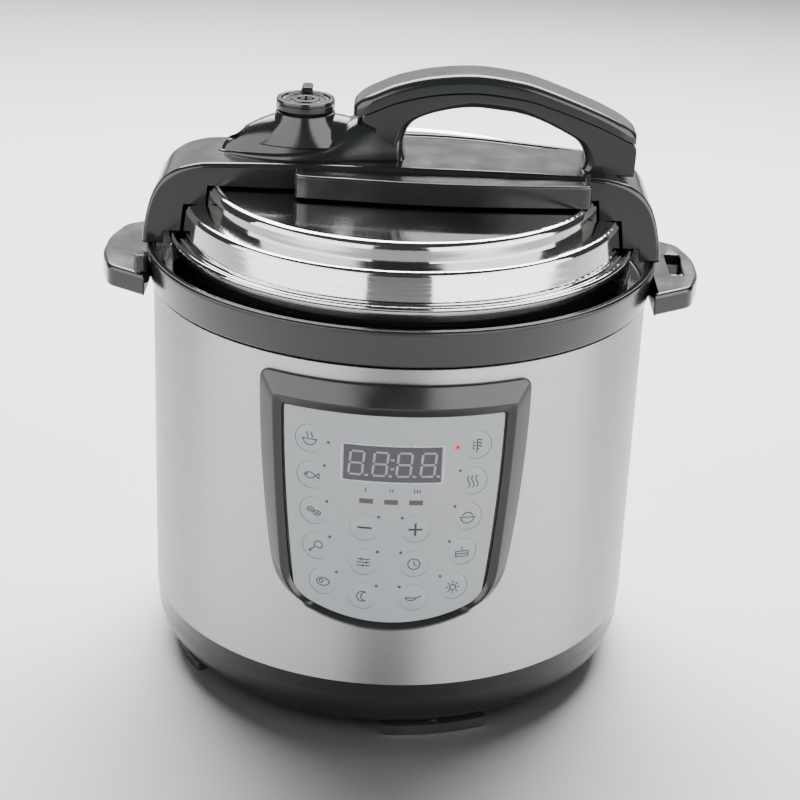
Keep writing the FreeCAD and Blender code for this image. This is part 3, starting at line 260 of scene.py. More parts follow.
def carve(obj: bpy.types.Object, cutters: Sequence[bpy.types.Object]) -> None:
    """Cut shapes out of an object.

    Args:
        obj: The piece to cut.
        cutters: Closed shapes, removed afterwards.
    """
    for cutter in cutters:
        modifier = obj.modifiers.new("cut", "BOOLEAN")
        modifier.object = cutter
        modifier.operation = "DIFFERENCE"
        modifier.solver = "EXACT"
    bpy.context.view_layer.update()
    apply_modifiers(obj)
    for cutter in cutters:
        bpy.data.objects.remove(cutter)


# ---------------------------------------------------------------- finishes
class Sheet:
    """A material being built, with short calls for the nodes that the finishes use."""

    def __init__(self, name: str) -> None:
        """Start an empty principled material."""
        self.material = bpy.data.materials.new(name)
        self.material.use_nodes = True
        self.tree = self.material.node_tree
        self.shader = self.tree.nodes["Principled BSDF"]
        self.place = self.tree.nodes.new("ShaderNodeTexCoord").outputs["Object"]

    def join(self, socket: bpy.types.NodeSocket, value: object) -> None:
        """Link a socket if the value is one too, or set it."""
        if isinstance(value, bpy.types.NodeSocket):
            self.tree.links.new(value, socket)
        else:
            socket.default_value = value

    def node(self, kind: str, **inputs: object) -> bpy.types.Node:
        """New node whose named inputs are linked or set.

        Args:
            kind: Node type.
            inputs: Input names with underscores for spaces, and a socket or a value for each.

        Returns:
            The node.
        """
        made = self.tree.nodes.new(kind)
        for key, value in inputs.items():
            self.join(made.inputs[key.replace("_", " ")], value)
        return made

    def put(self, socket: str, value: object) -> None:
        """Set or link one of the shader's sockets."""
        self.join(self.shader.inputs[socket], value)

    def stretched(self, scale: Colour) -> bpy.types.NodeSocket:
        """Object coordinates scaled by a factor along each axis."""
        return self.node("ShaderNodeMapping", Vector=self.place, Scale=scale).outputs["Vector"]

    def noise(self, scale: float, detail: float = 2.0,
              vector: Optional[bpy.types.NodeSocket] = None) -> bpy.types.NodeSocket:
        """Noise over the object's own coordinates."""
        made = self.node("ShaderNodeTexNoise", Vector=vector or self.place, Scale=scale, Detail=detail)
        return made.outputs["Fac"]

    def spread(self, value: bpy.types.NodeSocket, low: float, high: float) -> bpy.types.NodeSocket:
        """Value from 0.3..0.7 carried to low..high."""
        made = self.node("ShaderNodeMapRange", Value=value, From_Min=0.3, From_Max=0.7, To_Min=low,
                         To_Max=high)
        return made.outputs["Result"]

    def blend(self, amount: bpy.types.NodeSocket, first: Colour, second: Colour) -> bpy.types.NodeSocket:
        """Colour between two colours."""
        made = self.tree.nodes.new("ShaderNodeMix")
        made.data_type = "RGBA"
        self.tree.links.new(amount, made.inputs[0])
        made.inputs[6].default_value = (*first, 1.0)
        made.inputs[7].default_value = (*second, 1.0)
        return made.outputs[2]

    def bump(self, height: bpy.types.NodeSocket, depth: float) -> None:
        """Raise the surface by depth times height."""
        made = self.node("ShaderNodeBump", Height=height, Distance=depth, Strength=1.0)
        self.put("Normal", made.outputs["Normal"])


@dataclass(frozen=True)
class Moulding:
    """Moulded plastic: slightly uneven colour and gloss over a fine spark-eroded grain."""

    name: str
    colour: Colour
    lighter: Colour
    roughness: float
    grain: float = 2600.0
    depth: float = 0.00002

    def material(self) -> bpy.types.Material:
        """Colour from broad noise, roughness from middle noise, bump from fine noise."""
        sheet = Sheet(self.name)
        sheet.put("Base Color", sheet.blend(sheet.noise(18.0, 3.0), self.colour, self.lighter))
        gloss = sheet.spread(sheet.noise(60.0, 4.0), self.roughness - 0.05, self.roughness + 0.06)
        sheet.put("Roughness", gloss)
        sheet.bump(sheet.noise(self.grain, 2.0), self.depth)
        return sheet.material


@dataclass(frozen=True)
class RoundBrushed:
    """Steel brushed round the vertical axis: noise squeezed along Z and drawn out round the axis."""

    name: str
    colour: Colour
    lighter: Colour
    roughness: float
    lines: float = 3200.0
    depth: float = 0.000004
    anisotropy: float = 0.85

    def material(self) -> bpy.types.Material:
        """Fine horizontal streaks in roughness and height, with broad patches of tone."""
        sheet = Sheet(self.name)
        streak = sheet.noise(1.0, 3.0, sheet.stretched((14.0, 14.0, self.lines)))
        soft = sheet.noise(1.0, 2.0, sheet.stretched((9.0, 9.0, self.lines * 0.18)))
        sheet.put("Base Color", sheet.blend(soft, self.colour, self.lighter))
        sheet.put("Metallic", 1.0)
        sheet.put("Roughness", sheet.spread(streak, self.roughness - 0.05, self.roughness + 0.05))
        sheet.put("Anisotropic", self.anisotropy)
        sheet.put("Anisotropic Rotation", 0.25)
        sheet.bump(streak, self.depth)
        return sheet.material


@dataclass(frozen=True)
class Metal:
    """Plain metal with broad cloudy changes of gloss."""

    name: str
    colour: Colour
    roughness: float
    cloud: float = 40.0
    depth: float = 0.000003

    def material(self) -> bpy.types.Material:
        """Uneven roughness and a very slight waviness."""
        sheet = Sheet(self.name)
        shade = tuple(0.88 * c for c in self.colour)
        sheet.put("Base Color", sheet.blend(sheet.noise(self.cloud, 3.0), shade, self.colour))
        sheet.put("Metallic", 1.0)
        sheet.put("Roughness", sheet.spread(sheet.noise(self.cloud * 2, 4.0), self.roughness - 0.03,
                                            self.roughness + 0.04))
        sheet.bump(sheet.noise(900.0, 2.0), self.depth)
        return sheet.material


@dataclass(frozen=True)
class Clear:
    """See-through plastic with a faint unevenness."""

    name: str
    colour: Colour
    roughness: float
    transmission: float

    def material(self) -> bpy.types.Material:
        """Transmissive shader with slightly uneven gloss."""
        sheet = Sheet(self.name)
        sheet.put("Base Color", (*self.colour, 1.0))
        sheet.put("Transmission Weight", self.transmission)
        sheet.put("IOR", 1.46)
        sheet.put("Roughness", sheet.spread(sheet.noise(80.0, 3.0), self.roughness, self.roughness + 0.06))
        return sheet.material


@dataclass(frozen=True)
class Glow:
    """Small lamp that shines through its lens."""

    name: str
    colour: Colour
    light: Colour
    strength: float

    def material(self) -> bpy.types.Material:
        """Tinted glossy lens with a steady emission."""
        sheet = Sheet(self.name)
        darker = tuple(0.8 * c for c in self.colour)
        sheet.put("Base Color", sheet.blend(sheet.noise(600.0), self.colour, darker))
        sheet.put("Roughness", 0.25)
        sheet.put("Emission Color", (*self.light, 1.0))
        sheet.put("Emission Strength", self.strength)
        return sheet.material


class Finish(Enum):
    """Every finish of the cooker."""

    SHELL = RoundBrushed("brushed_shell_steel", (0.350, 0.344, 0.333), (0.400, 0.394, 0.383), 0.44)
    LID = RoundBrushed("polished_lid_steel", (0.50, 0.495, 0.478), (0.57, 0.565, 0.548), 0.09, 900.0,
                       0.000002, 0.35)
    POT = RoundBrushed("inner_pot_steel", (0.60, 0.60, 0.59), (0.68, 0.68, 0.67), 0.30)
    ZINC = Metal("plated_steel", (0.62, 0.63, 0.64), 0.32)
    CAST = Metal("turned_aluminium", (0.60, 0.60, 0.61), 0.38)
    BRASS = Metal("bare_brass", (0.75, 0.58, 0.28), 0.28)
    CHARCOAL = Moulding("charcoal_moulding", (0.0075, 0.0090, 0.0080), (0.0100, 0.0118, 0.0105), 0.18)
    FRAME = Moulding("panel_frame_plastic", (0.0075, 0.0088, 0.0080), (0.0095, 0.0110, 0.0100), 0.21)
    BLACK = Moulding("bridge_plastic", (0.0080, 0.0098, 0.0085), (0.0105, 0.0125, 0.0110), 0.15)
    FOOT = Moulding("foot_plastic", (0.009, 0.0095, 0.0095), (0.014, 0.0145, 0.0145), 0.42)
    FILM = Moulding("printed_film", (0.198, 0.211, 0.222), (0.212, 0.225, 0.237), 0.34, 5200.0, 0.000006)
    PRINT = Moulding("printed_ink", (0.012, 0.013, 0.015), (0.016, 0.017, 0.019), 0.5)
    DIM = Moulding("unlit_lamp", (0.035, 0.030, 0.034), (0.05, 0.045, 0.05), 0.3)
    TINT = Moulding("tinted_window", (0.027, 0.029, 0.033), (0.033, 0.035, 0.040), 0.18)
    SEGMENT = Moulding("unlit_segments", (0.15, 0.15, 0.155), (0.19, 0.19, 0.195), 0.4)
    BORDER = Moulding("light_border", (0.40, 0.41, 0.42), (0.44, 0.45, 0.46), 0.4)
    SILICONE = Moulding("clear_silicone", (0.55, 0.55, 0.53), (0.60, 0.60, 0.58), 0.4)
    BOARD = Moulding("solder_mask", (0.02, 0.10, 0.045), (0.03, 0.13, 0.06), 0.3)
    WIRE = Moulding("wire_insulation", (0.30, 0.05, 0.03), (0.36, 0.07, 0.04), 0.45)
    CUP = Clear("smoked_cup", (0.70, 0.76, 0.80), 0.12, 0.75)
    LAMP = Glow("red_lamp", (0.55, 0.03, 0.03), (1.0, 0.08, 0.06), 0.6)

    def material(self) -> bpy.types.Material:
        """The finish's material, built once."""
        return bpy.data.materials.get(self.value.name) or self.value.material()


def dress(obj: bpy.types.Object, finish: Finish) -> bpy.types.Object:
    """Give a whole piece one finish."""
    obj.data.materials.clear()
    obj.data.materials.append(finish.material())
    return obj


def fit(obj: bpy.types.Object, body: str, finish: Finish, slot: str, *nodes: str) -> bpy.types.Object:
    """Dress a new piece, let it ride on a body and stand for nodes.

    Args:
        obj: The new piece.
        body: The body that it moves with.
        finish: Its finish.
        slot: Not used.
        nodes: The nodes that it stands for.

    Returns:
        The same piece.
    """
    dress(obj, finish)
    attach(obj, body)
    if nodes:
        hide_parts(*nodes)
    log.info("piece %s: %d vertices on %s", obj.name, len(obj.data.vertices), body)
    return obj


# ---------------------------------------------------------------- measures from the frame
@dataclass
class Measures:
    """Radii and levels read from the frame's nodes."""

    shell: float = 0.0
    shell_top: float = 0.0
    collar_low: float = 0.0
    collar_top: float = 0.0
    brim: float = 0.0
    lid_top: float = 0.0
    bridge_top: float = 0.0
    collar_seat: float = 0.8 * MM

    def __post_init__(self) -> None:
        """Read every value from the nodes' boxes."""
        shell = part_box("outer_shell")[1]
        self.shell, self.shell_top = shell.x, shell.z
        self.collar_low, self.collar_top = shell.z + self.collar_seat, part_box("top_collar")[1].z
        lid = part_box("lid_shell")
        self.brim, self.lid_top = lid[1].x, lid[1].z
        self.bridge_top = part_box("lid_bridge")[1].z


# ---------------------------------------------------------------- studio
@dataclass(frozen=True)
class Studio:
    """Floor, soft lights and camera."""

    aim_height: float = 0.170
    distance: float = 1.0919
    elevation: float = 22.17
    tip: float = -0.025
    swing: float = 0.0025
    roll: float = 0.0393
    lens: float = 88.81
    floor_side: float = 9.0
    box_turn: float = 54.0
    box_reach: float = 1.45
    box_size: tuple[float, float] = (2.3, 1.5)
    back_spread: float = 110.0
    dark: float = 0.08
    bright: float = 0.95

    def camera(self) -> None:
        """Camera looking from the front and above, slightly rolled.

        The right, up and forward vectors are turned in order by tip (about right), swing (about up) and roll
        (about forward), each by its sine and cosine.
        """
        e = math.radians(self.elevation)
        right = Vector((1, 0, 0))
        forward = Vector((0, math.cos(e), -math.sin(e)))
        up = Vector((0, math.sin(e), math.cos(e)))
        spot = Vector((0, 0, self.aim_height)) - forward * self.distance
        forward, up = (forward * math.cos(self.tip) + up * math.sin(self.tip),
                       up * math.cos(self.tip) - forward * math.sin(self.tip))
        forward, right = (forward * math.cos(self.swing) + right * math.sin(self.swing),
                          right * math.cos(self.swing) - forward * math.sin(self.swing))
        right, up = (right * math.cos(self.roll) + up * math.sin(self.roll),
                     up * math.cos(self.roll) - right * math.sin(self.roll))
        data = bpy.data.cameras.new("camera")
        data.lens = self.lens
        data.sensor_width = 36.0
        camera = bpy.data.objects.new("camera", data)
        bpy.context.scene.collection.objects.link(camera)
        camera.matrix_world = Matrix.Translation(spot) @ Matrix((right, up, -forward)).transposed().to_4x4()
        bpy.context.scene.camera = camera

    def lamp(self, name: str, spot: Vector, aim: Vector, size: tuple[float, float], power: float,
             ) -> bpy.types.Object:
        """Rectangular soft light.

        Args:
            name: Name of the light.
            spot: Where it stands.
            aim: The point it faces.
            size: Its width and height.
            power: Its power in watts.

        Returns:
            The light.
        """
        data = bpy.data.lights.new(name, "AREA")
        data.shape = "RECTANGLE"
        data.size, data.size_y = size
        data.energy = power
        lamp = bpy.data.objects.new(name, data)
        bpy.context.scene.collection.objects.link(lamp)
        lamp.location = spot
        lamp.rotation_euler = (aim - spot).to_track_quat("-Z", "Y").to_euler()
        return lamp

    def floor(self) -> bpy.types.Object:
        """Large pale floor."""
        half = self.floor_side / 2
        verts = np.array([(-half, -half, 0), (half, -half, 0), (half, half, 0), (-half, half, 0)])
        floor = mesh_object("floor", verts, [(0, 1, 2, 3)])
        sheet = Sheet("pale_floor")
        sheet.put("Base Color", sheet.blend(sheet.noise(3.0), (0.86, 0.86, 0.86), (0.88, 0.88, 0.88)))
        sheet.put("Roughness", 0.9)
        floor.data.materials.append(sheet.material)
        return floor

    def softboxes(self, floor: bpy.types.Object) -> None:
        """Two tall boxes at the front that light the object only, and a large one above and behind for all.

        Args:
            floor: The floor, which the front boxes leave out so that it keeps one soft shadow.
        """
        spared = bpy.data.collections.new("spared_floor")
        spared.objects.link(floor)
        spared.collection_objects[0].light_linking.link_state = "EXCLUDE"
        for name, turn, power in (("left_box", -self.box_turn, 50.0), ("right_box", self.box_turn, 62.0)):
            angle = math.radians(turn)
            x, y = self.box_reach * math.sin(angle), -self.box_reach * math.cos(angle)
            spot = Vector((x, y, self.box_size[1] / 2))
            lamp = self.lamp(name, spot, Vector((0, 0, spot.z)), self.box_size, power)
            lamp.light_linking.receiver_collection = spared
        back = self.lamp("back_box", Vector((0.0, 1.2, 1.55)), Vector((0, 0.1, 0.0)), (2.2, 1.5), 84.0)
        back.data.spread = math.radians(self.back_spread)

    def surround(self) -> None:
        """White surround behind the object and a dark one in front.

        The strength follows the direction's Y: dark up to 0.68, bright from 0.94, smooth between.
        """
        world = bpy.data.worlds.new("studio")
        bpy.context.scene.world = world
        world.use_nodes = True
        tree = world.node_tree
        where = tree.nodes.new("ShaderNodeTexCoord")
        split = tree.nodes.new("ShaderNodeSeparateXYZ")
        spread = tree.nodes.new("ShaderNodeMapRange")
        spread.interpolation_type = "SMOOTHSTEP"
        for socket, value in (("From Min", 0.68), ("From Max", 0.94),
                              ("To Min", self.dark), ("To Max", self.bright)):
            spread.inputs[socket].default_value = value
        tree.links.new(where.outputs["Generated"], split.inputs[0])
        tree.links.new(split.outputs["Y"], spread.inputs["Value"])
        tree.links.new(spread.outputs["Result"], tree.nodes["Background"].inputs["Strength"])
        tree.nodes["Background"].inputs["Color"].default_value = (1.0, 1.0, 1.0, 1.0)

    def build(self) -> None:
        """Set the whole studio up."""
        self.camera()
        self.softboxes(self.floor())
        self.surround()
        log.info("studio ready")


M = Measures()


# ---------------------------------------------------------------- carried shapes
def slab_object(name: str, outline: Array, low: float, high: float, radius: float, steps: int = 5,
                low_radius: Optional[float] = None,
                dish: Optional[tuple[float, float]] = None) -> bpy.types.Object:
    """Upright prism of a closed plan outline with rounded rims.

    A ring at the angle p from 0 to 90 degrees is the outline drawn in by r * (1 - sin p) at the depth
    r * (1 - cos p) from the face, so the rim is a quarter circle.

    Args:
        name: Name of the piece.
        outline: Counter-clockwise outline (x, y) seen from above.
        low: Height of the lower face.
        high: Height of the upper face.
        radius: Rim radius of the upper face.
        steps: Spans in each rim.
        low_radius: Rim radius of the lower face; the upper one if left out.
        dish: Rim width and depth of a shallow tray in the upper face.

    Returns:
        The linked object.
    """
    low_r = radius if low_radius is None else low_radius
    normal = outward(outline)
    insets = []
    for phi in np.linspace(0.0, math.pi / 2, steps + 1):
        insets.append((low_r * (1 - math.sin(phi)), low + low_r * (1 - math.cos(phi))))
    for phi in np.linspace(math.pi / 2, 0.0, steps + 1):
        insets.append((radius * (1 - math.sin(phi)), high - radius * (1 - math.cos(phi))))
    if dish:
        width, depth = dish
        for inward, down in ((0.0, 0.0), (0.15, 0.3), (0.6, 1.0), (1.6, 1.0)):
            insets.append((radius + width + inward * depth, high - down * depth))
    rings = []
    for inset, level in insets:
        rings.append(np.column_stack([outline - normal * inset, np.full(len(outline), level)]))
    obj = grid_object(name, np.stack(rings), wrap_columns=True, caps=True)
    weighted(obj)
    return obj


def weighted(obj: bpy.types.Object) -> bpy.types.Object:
    """Shade flat faces flat and rims round, by face area."""
    shade = obj.modifiers.new("shade", "WEIGHTED_NORMAL")
    shade.weight = 80
    shade.keep_sharp = False
    return obj


def merged(name: str, pieces: Sequence[bpy.types.Object]) -> bpy.types.Object:
    """One object made of several, with their modifiers applied.

    Args:
        name: Name of the joined piece.
        pieces: The pieces, removed afterwards.

    Returns:
        The joined object.
    """
    verts, faces, start = [], [], 0
    for piece in pieces:
        mesh = piece.data
        co = np.empty(len(mesh.vertices) * 3)
        mesh.vertices.foreach_get("co", co)
        verts.append(co.reshape(-1, 3))
        faces.extend([[start + v for v in face.vertices] for face in mesh.polygons])
        start += len(mesh.vertices)
        bpy.data.objects.remove(piece)
    return mesh_object(name, np.vstack(verts), faces)


def mirrored(outline: Array) -> Array:
    """Closed outline from its right half: the half, then its mirror image in reverse order."""
    other = outline[::-1].copy()
    other[:, 0] = -other[:, 0]
    keep = np.ones(len(other), bool)
    keep[0] = outline[-1, 0] > 1e-9
    keep[-1] = outline[0, 0] > 1e-9
    return np.vstack([outline, other[keep]])


def middle_x(name: str) -> float:
    """X of the middle of a node's box."""
    low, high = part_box(name)
    return (low.x + high.x) / 2


def on_cylinder(arc: Array, height: Array, radius: Array) -> Array:
    """Points on the body: arc length s, height z and radius R give (R sin a, -R cos a, z), a = s / shell."""
    angle = arc / M.shell
    return np.stack([radius * np.sin(angle), -radius * np.cos(angle), height + 0 * angle], axis=-1)


# ---------------------------------------------------------------- body
@dataclass
class Collar:
    """Collar ring with its inner channel and two side lugs; the rear spout is left out here."""

    wall: float = 3.0 * MM
    flare: float = 2.4 * MM
    overhang: float = 1.5 * MM
    floor_rise: float = 2.4 * MM
    lug_height: float = 11.6 * MM
    lug_root: float = 49.0 * MM
    lug_tip: float = 34.5 * MM
    lug_reach: float = 25.5 * MM
    slot_size: tuple[float, float] = (9.4 * MM, 33.0 * MM)
    slot_offset: float = 11.0 * MM

    def ring(self) -> bpy.types.Object:
        """Spun wall: lower edge, flared outside, thin lip, inner wall and channel floor."""
        low, top = M.collar_low, M.collar_top
        outer = M.shell + self.overhang
        wide = outer + self.flare
        inner = outer - self.wall
        floor_z = low + self.floor_rise
        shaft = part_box("outer_pot")[1].x - 5.5 * MM
        line = [(shaft, low), (outer - 2.2 * MM, low), (outer, low + 1.2 * MM), (wide, top - 2.2 * MM),
                (wide - 0.1 * MM, top - 0.9 * MM), (wide - 0.9 * MM, top), (inner + 1.8 * MM, top),
                (inner, top - 3.0 * MM), (inner, floor_z), (shaft, floor_z)]
        radii = [0.2, 0.8, 1.2, 0.5, 0.5, 0.5, 1.0, 1.0, 1.2, 0.3]
        profile = rounded_line(line, [r * MM for r in radii], closed=True, steps=5)
        return spun("collar_ring", profile)

    def lug(self, side: int) -> bpy.types.Object:
        """Side lug: root hidden in the wall, bowed tip, rounded corners and rims."""
        low = M.collar_low
        root = M.shell - 0.2 * MM
        tip = M.shell + self.overhang + self.lug_reach
        corner = tip - 6.0 * MM
        line = [(root, -self.lug_root), (corner, -self.lug_tip), (tip, -12 * MM), (tip, 12 * MM),
                (corner, self.lug_tip), (root, self.lug_root)]
        outline = rounded_line(line, [0, 11 * MM, 60 * MM, 60 * MM, 14 * MM, 0], closed=True, steps=14)
        outline = even_line(outline, 160, closed=True)
        if side < 0:
            outline = outline[::-1] * np.array([-1.0, 1.0])
        lug = slab_object("lug", outline, low, low + self.lug_height, 2.4 * MM, steps=6, low_radius=1.2 * MM)
        if side > 0:
            near = M.shell + self.slot_offset
            depth, width = self.slot_size
            hole = rounded_line([(near, -width / 2), (near + depth, -width / 2), (near + depth, width / 2),
                                 (near, width / 2)], [1.6 * MM] * 4, closed=True, steps=4)
            cutter = slab_object("slot", hole, low - 5 * MM, low + self.lug_height + 5 * MM, 0.1 * MM)
            cutter.modifiers.clear()
            lug.modifiers.clear()
            carve(lug, [cutter])
        return lug

    def build(self) -> None:
        """Ring and lugs as one moulding in place of the node."""
        parts = [self.ring(), self.lug(1), self.lug(-1)]
        for part in parts:
            part.modifiers.clear()
        body = merged("collar_moulding", parts)
        weighted(body)
        fit(body, "base", Finish.CHARCOAL, "charcoal_plastic", "top_collar")


@dataclass
class Panel:
    """Bevelled panel frame, key caps, legends and the display's digits."""

    half_top: float = 69.7 * MM
    half_mid: float = 67.2 * MM
    half_low: float = 59.4 * MM
    top_drop: float = 7.5 * MM
    height: float = 136.3 * MM
    shoulder: float = 18.2 * MM
    crest_half: tuple[float, float, float] = (59.8 * MM, 57.4 * MM, 53.0 * MM)
    crest_top: float = 11.0 * MM
    crest_low: float = 3.2 * MM
    film_half: tuple[float, float, float] = (55.9 * MM, 53.9 * MM, 48.9 * MM)
    film_top: float = 15.9 * MM
    film_low: float = 6.0 * MM
    depth: float = 5.5 * MM
    points: int = 72

    def outline(self, halves: tuple[float, float, float], top: float, low: float, shoulder: float,
                corners: tuple[float, float]) -> Array:
        """Closed shield outline in arc length and height.

        The right half runs from the middle of the lower edge to the middle of the upper edge; the lower
        edge is a circle's arc that rises by shoulder, the side a parabola through its three half widths.

        Args:
            halves: Half widths at the top, the middle and the lower corner.
            top: Height of the upper edge.
            low: Height of the lowest point.
            shoulder: Height of the lower corner above the lowest point.
            corners: Radii of the upper and lower corners.

        Returns:
            Points in counter-clockwise order.
        """
        wide, middle, narrow = halves
        turn = 2 * math.atan2(shoulder, narrow)
        radius = narrow / math.sin(turn)
        a = np.linspace(0.0, turn, 24)
        sill = np.stack([radius * np.sin(a), low + radius * (1 - np.cos(a))], axis=1)
        t = np.linspace(0.0, 1.0, 24)[1:]
        side = np.stack([narrow * (1 - t) * (1 - 2 * t) + 4 * middle * t * (1 - t) + wide * t * (2 * t - 1),
                         (low + shoulder) * (1 - t) + top * t], axis=1)
        head = np.array([[wide * 0.5, top], [0.0, top]])
        line = np.vstack([sill, side, head])
        line = self.round_corner(line, len(sill) + len(side) - 1, corners[0])
        line = self.round_corner(line, len(sill) - 1, corners[1])
        spots = even_line(line, 2 * self.points + 1)
        return mirrored(spots)

    @staticmethod
    def round_corner(line: Array, index: int, radius: float) -> Array:
        """Line with one corner replaced by a quadratic blend that starts and ends radius away from it."""
        corner = line[index]
        gap = np.linalg.norm(line - corner, axis=1)
        before = [k for k in range(index) if gap[k] >= radius]
        after = [k for k in range(index + 1, len(line)) if gap[k] >= radius]
        step_in = line[before[-1] + 1] - line[before[-1]]
        step_out = line[after[0]] - line[after[0] - 1]
        start = corner - step_in / np.linalg.norm(step_in) * radius
        end = corner + step_out / np.linalg.norm(step_out) * radius
        t = np.linspace(0.0, 1.0, 12)[:, None]
        blend = start * (1 - t) ** 2 + 2 * corner * t * (1 - t) + end * t ** 2
        return np.vstack([line[:before[-1] + 1], blend, line[after[0]:]])

    def frame_piece(self) -> None:
        """Frame as rings between three outlines: outer edge, crest and film edge, each at its own radius."""
        top = M.shell_top - self.top_drop
        low = top - self.height
        outer = self.outline((self.half_top, self.half_mid, self.half_low), top, low, self.shoulder,
                             (6.5 * MM, 17 * MM))
        crest = self.outline(self.crest_half, top - self.crest_top, low + self.crest_low, 15 * MM,
                             (3.0 * MM, 14 * MM))
        film = self.outline(self.film_half, top - self.film_top, low + self.film_low, 11.8 * MM,
                            (1.6 * MM, 12 * MM))
        lift = self.depth
        plan = [(outer, crest, 0.0, -0.3 * MM), (outer, crest, 0.0, 0.9 * MM),
                (outer, crest, 0.012, 1.5 * MM), (outer, crest, 0.05, 1.95 * MM),
                (outer, crest, 0.12, 2.35 * MM), (outer, crest, 0.86, 5.0 * MM),
                (outer, crest, 0.93, 5.32 * MM), (outer, crest, 0.97, lift - 0.03 * MM),
                (crest, film, 0.0, lift), (crest, film, 0.08, lift - 0.05 * MM),
                (crest, film, 0.2, lift - 0.3 * MM),
                (crest, film, 0.88, 3.9 * MM), (crest, film, 0.97, 3.55 * MM), (crest, film, 1.0, 3.2 * MM),
                (crest, film, 1.0, 0.2 * MM)]
        rings = [on_cylinder(*(a * (1 - t) + b * t).T, M.shell + h) for a, b, t, h in plan]
        frame_obj = grid_object("panel_bezel", np.stack(rings), wrap_rows=True, wrap_columns=True)
        fit(frame_obj, "base", Finish.FRAME, "charcoal_plastic", "panel_frame")

    def build(self) -> None:
        """Frame first, then keys, legends and digits."""
        self.frame_piece()
        Keypad().build()
        Display().build()


class Icon(Enum):
    """Legends of the keys; icon_strokes draws them."""

    MINUS = "minus"
    PLUS = "plus"
    BOWL = "bowl"
    FISH = "fish"
    BEANS = "beans"
    DRUMSTICK = "drumstick"
    STEAK = "steak"
    GRAIN = "grain"
    STEAM = "steam"
    RICE = "rice"
    CAKE = "cake"
    WARM = "warm"
    ADJUST = "adjust"
    CLOCK = "clock"
    MOON = "moon"
    PAN = "pan"


def arc_stroke(x: float, y: float, radius: float, start: float, end: float, squeeze: float = 1.0) -> Array:
    """Arc from one angle to another in degrees, with its height squeezed."""
    a = np.radians(np.linspace(start, end, 20))
    return np.stack([x + radius * np.cos(a), y + squeeze * radius * np.sin(a)], axis=1)


def wave_stroke(x: float, low: float, high: float, swing: float) -> Array:
    """Upright sine wave of one period."""
    t = np.linspace(0.0, 1.0, 16)
    return np.stack([x + swing * np.sin(2 * math.pi * t), low + (high - low) * t], axis=1)


def icon_strokes(icon: Icon) -> list[Array]:
    """Strokes of a legend in units of the key's radius, centred on the key."""
    line = np.array
    shapes = {
        Icon.MINUS: [line([(-0.42, 0.0), (0.42, 0.0)])],
        Icon.PLUS: [line([(-0.42, 0.0), (0.42, 0.0)]), line([(0.0, -0.42), (0.0, 0.42)])],
        Icon.BOWL: [arc_stroke(0, 0.02, 0.45, 180, 360), line([(-0.52, 0.02), (0.52, 0.02)]),
                    wave_stroke(-0.16, 0.14, 0.5, 0.05), wave_stroke(0.16, 0.14, 0.5, 0.05)],
        Icon.FISH: [arc_stroke(-0.1, -0.22, 0.44, 30, 150), arc_stroke(-0.1, 0.22, 0.44, 210, 330),
                    line([(0.28, 0.0), (0.54, 0.2), (0.54, -0.2), (0.28, 0.0)]),
                    arc_stroke(-0.3, 0.04, 0.03, 0, 360)],
        Icon.BEANS: [arc_stroke(-0.22, 0.1, 0.24, 0, 360, 0.7), arc_stroke(0.24, -0.12, 0.24, 0, 360, 0.7),
                     arc_stroke(-0.22, 0.02, 0.1, 20, 160), arc_stroke(0.24, -0.2, 0.1, 20, 160)],
        Icon.DRUMSTICK: [arc_stroke(0.12, 0.12, 0.28, -60, 210), line([(-0.12, -0.02), (-0.42, -0.34)]),
                         line([(0.26, -0.12), (-0.12, -0.02)]), arc_stroke(-0.46, -0.38, 0.07, 0, 360)],
        Icon.STEAK: [arc_stroke(-0.02, 0, 0.44, 0, 360, 0.68), arc_stroke(-0.14, 0.04, 0.13, 0, 360)],
        Icon.GRAIN: [line([(0.0, -0.5), (0.0, 0.46)])] + [
            arc_stroke(s * 0.14, h, 0.15, 90 - s * 90, 270 - s * 90 + 90 * s, 0.8)
            for s in (-1, 1) for h in (-0.12, 0.1, 0.32)],
        Icon.STEAM: [wave_stroke(x, -0.42, 0.42, 0.09) for x in (-0.28, 0.0, 0.28)],
        Icon.RICE: [arc_stroke(0, -0.02, 0.45, 180, 360), line([(-0.52, -0.02), (0.52, -0.02)]),
                    arc_stroke(0, -0.02, 0.36, 20, 160)],
        Icon.CAKE: [line([(-0.42, -0.34), (0.42, -0.34), (0.42, 0.06), (-0.42, 0.06), (-0.42, -0.34)]),
                    line([(-0.42, -0.14), (0.42, -0.14)]), line([(0.0, 0.06), (0.0, 0.34)])],
        Icon.WARM: [arc_stroke(0, -0.05, 0.2, 0, 360)] + [
            line([(r * math.cos(a), r * math.sin(a) - 0.05) for r in (0.32, 0.46)])
            for a in np.linspace(0, 2 * math.pi, 9)[:-1]],
        Icon.ADJUST: [line([(-0.42, h), (0.42, h)]) for h in (0.24, 0.0, -0.24)] + [
            line([(x, h - 0.09), (x, h + 0.09)]) for x, h in ((-0.16, 0.24), (0.2, 0.0), (-0.04, -0.24))],
        Icon.CLOCK: [arc_stroke(0, 0, 0.4, 0, 360), line([(0.0, 0.24), (0.0, 0.0), (0.18, -0.12)])],
        Icon.MOON: [arc_stroke(0, 0, 0.38, 60, 300), arc_stroke(0.24, 0, 0.34, 105, 255)],
        Icon.PAN: [arc_stroke(-0.12, 0.02, 0.34, 180, 360, 0.6),
                   line([(-0.5, 0.02), (0.26, 0.02), (0.56, 0.16)])],
    }
    return shapes[icon]


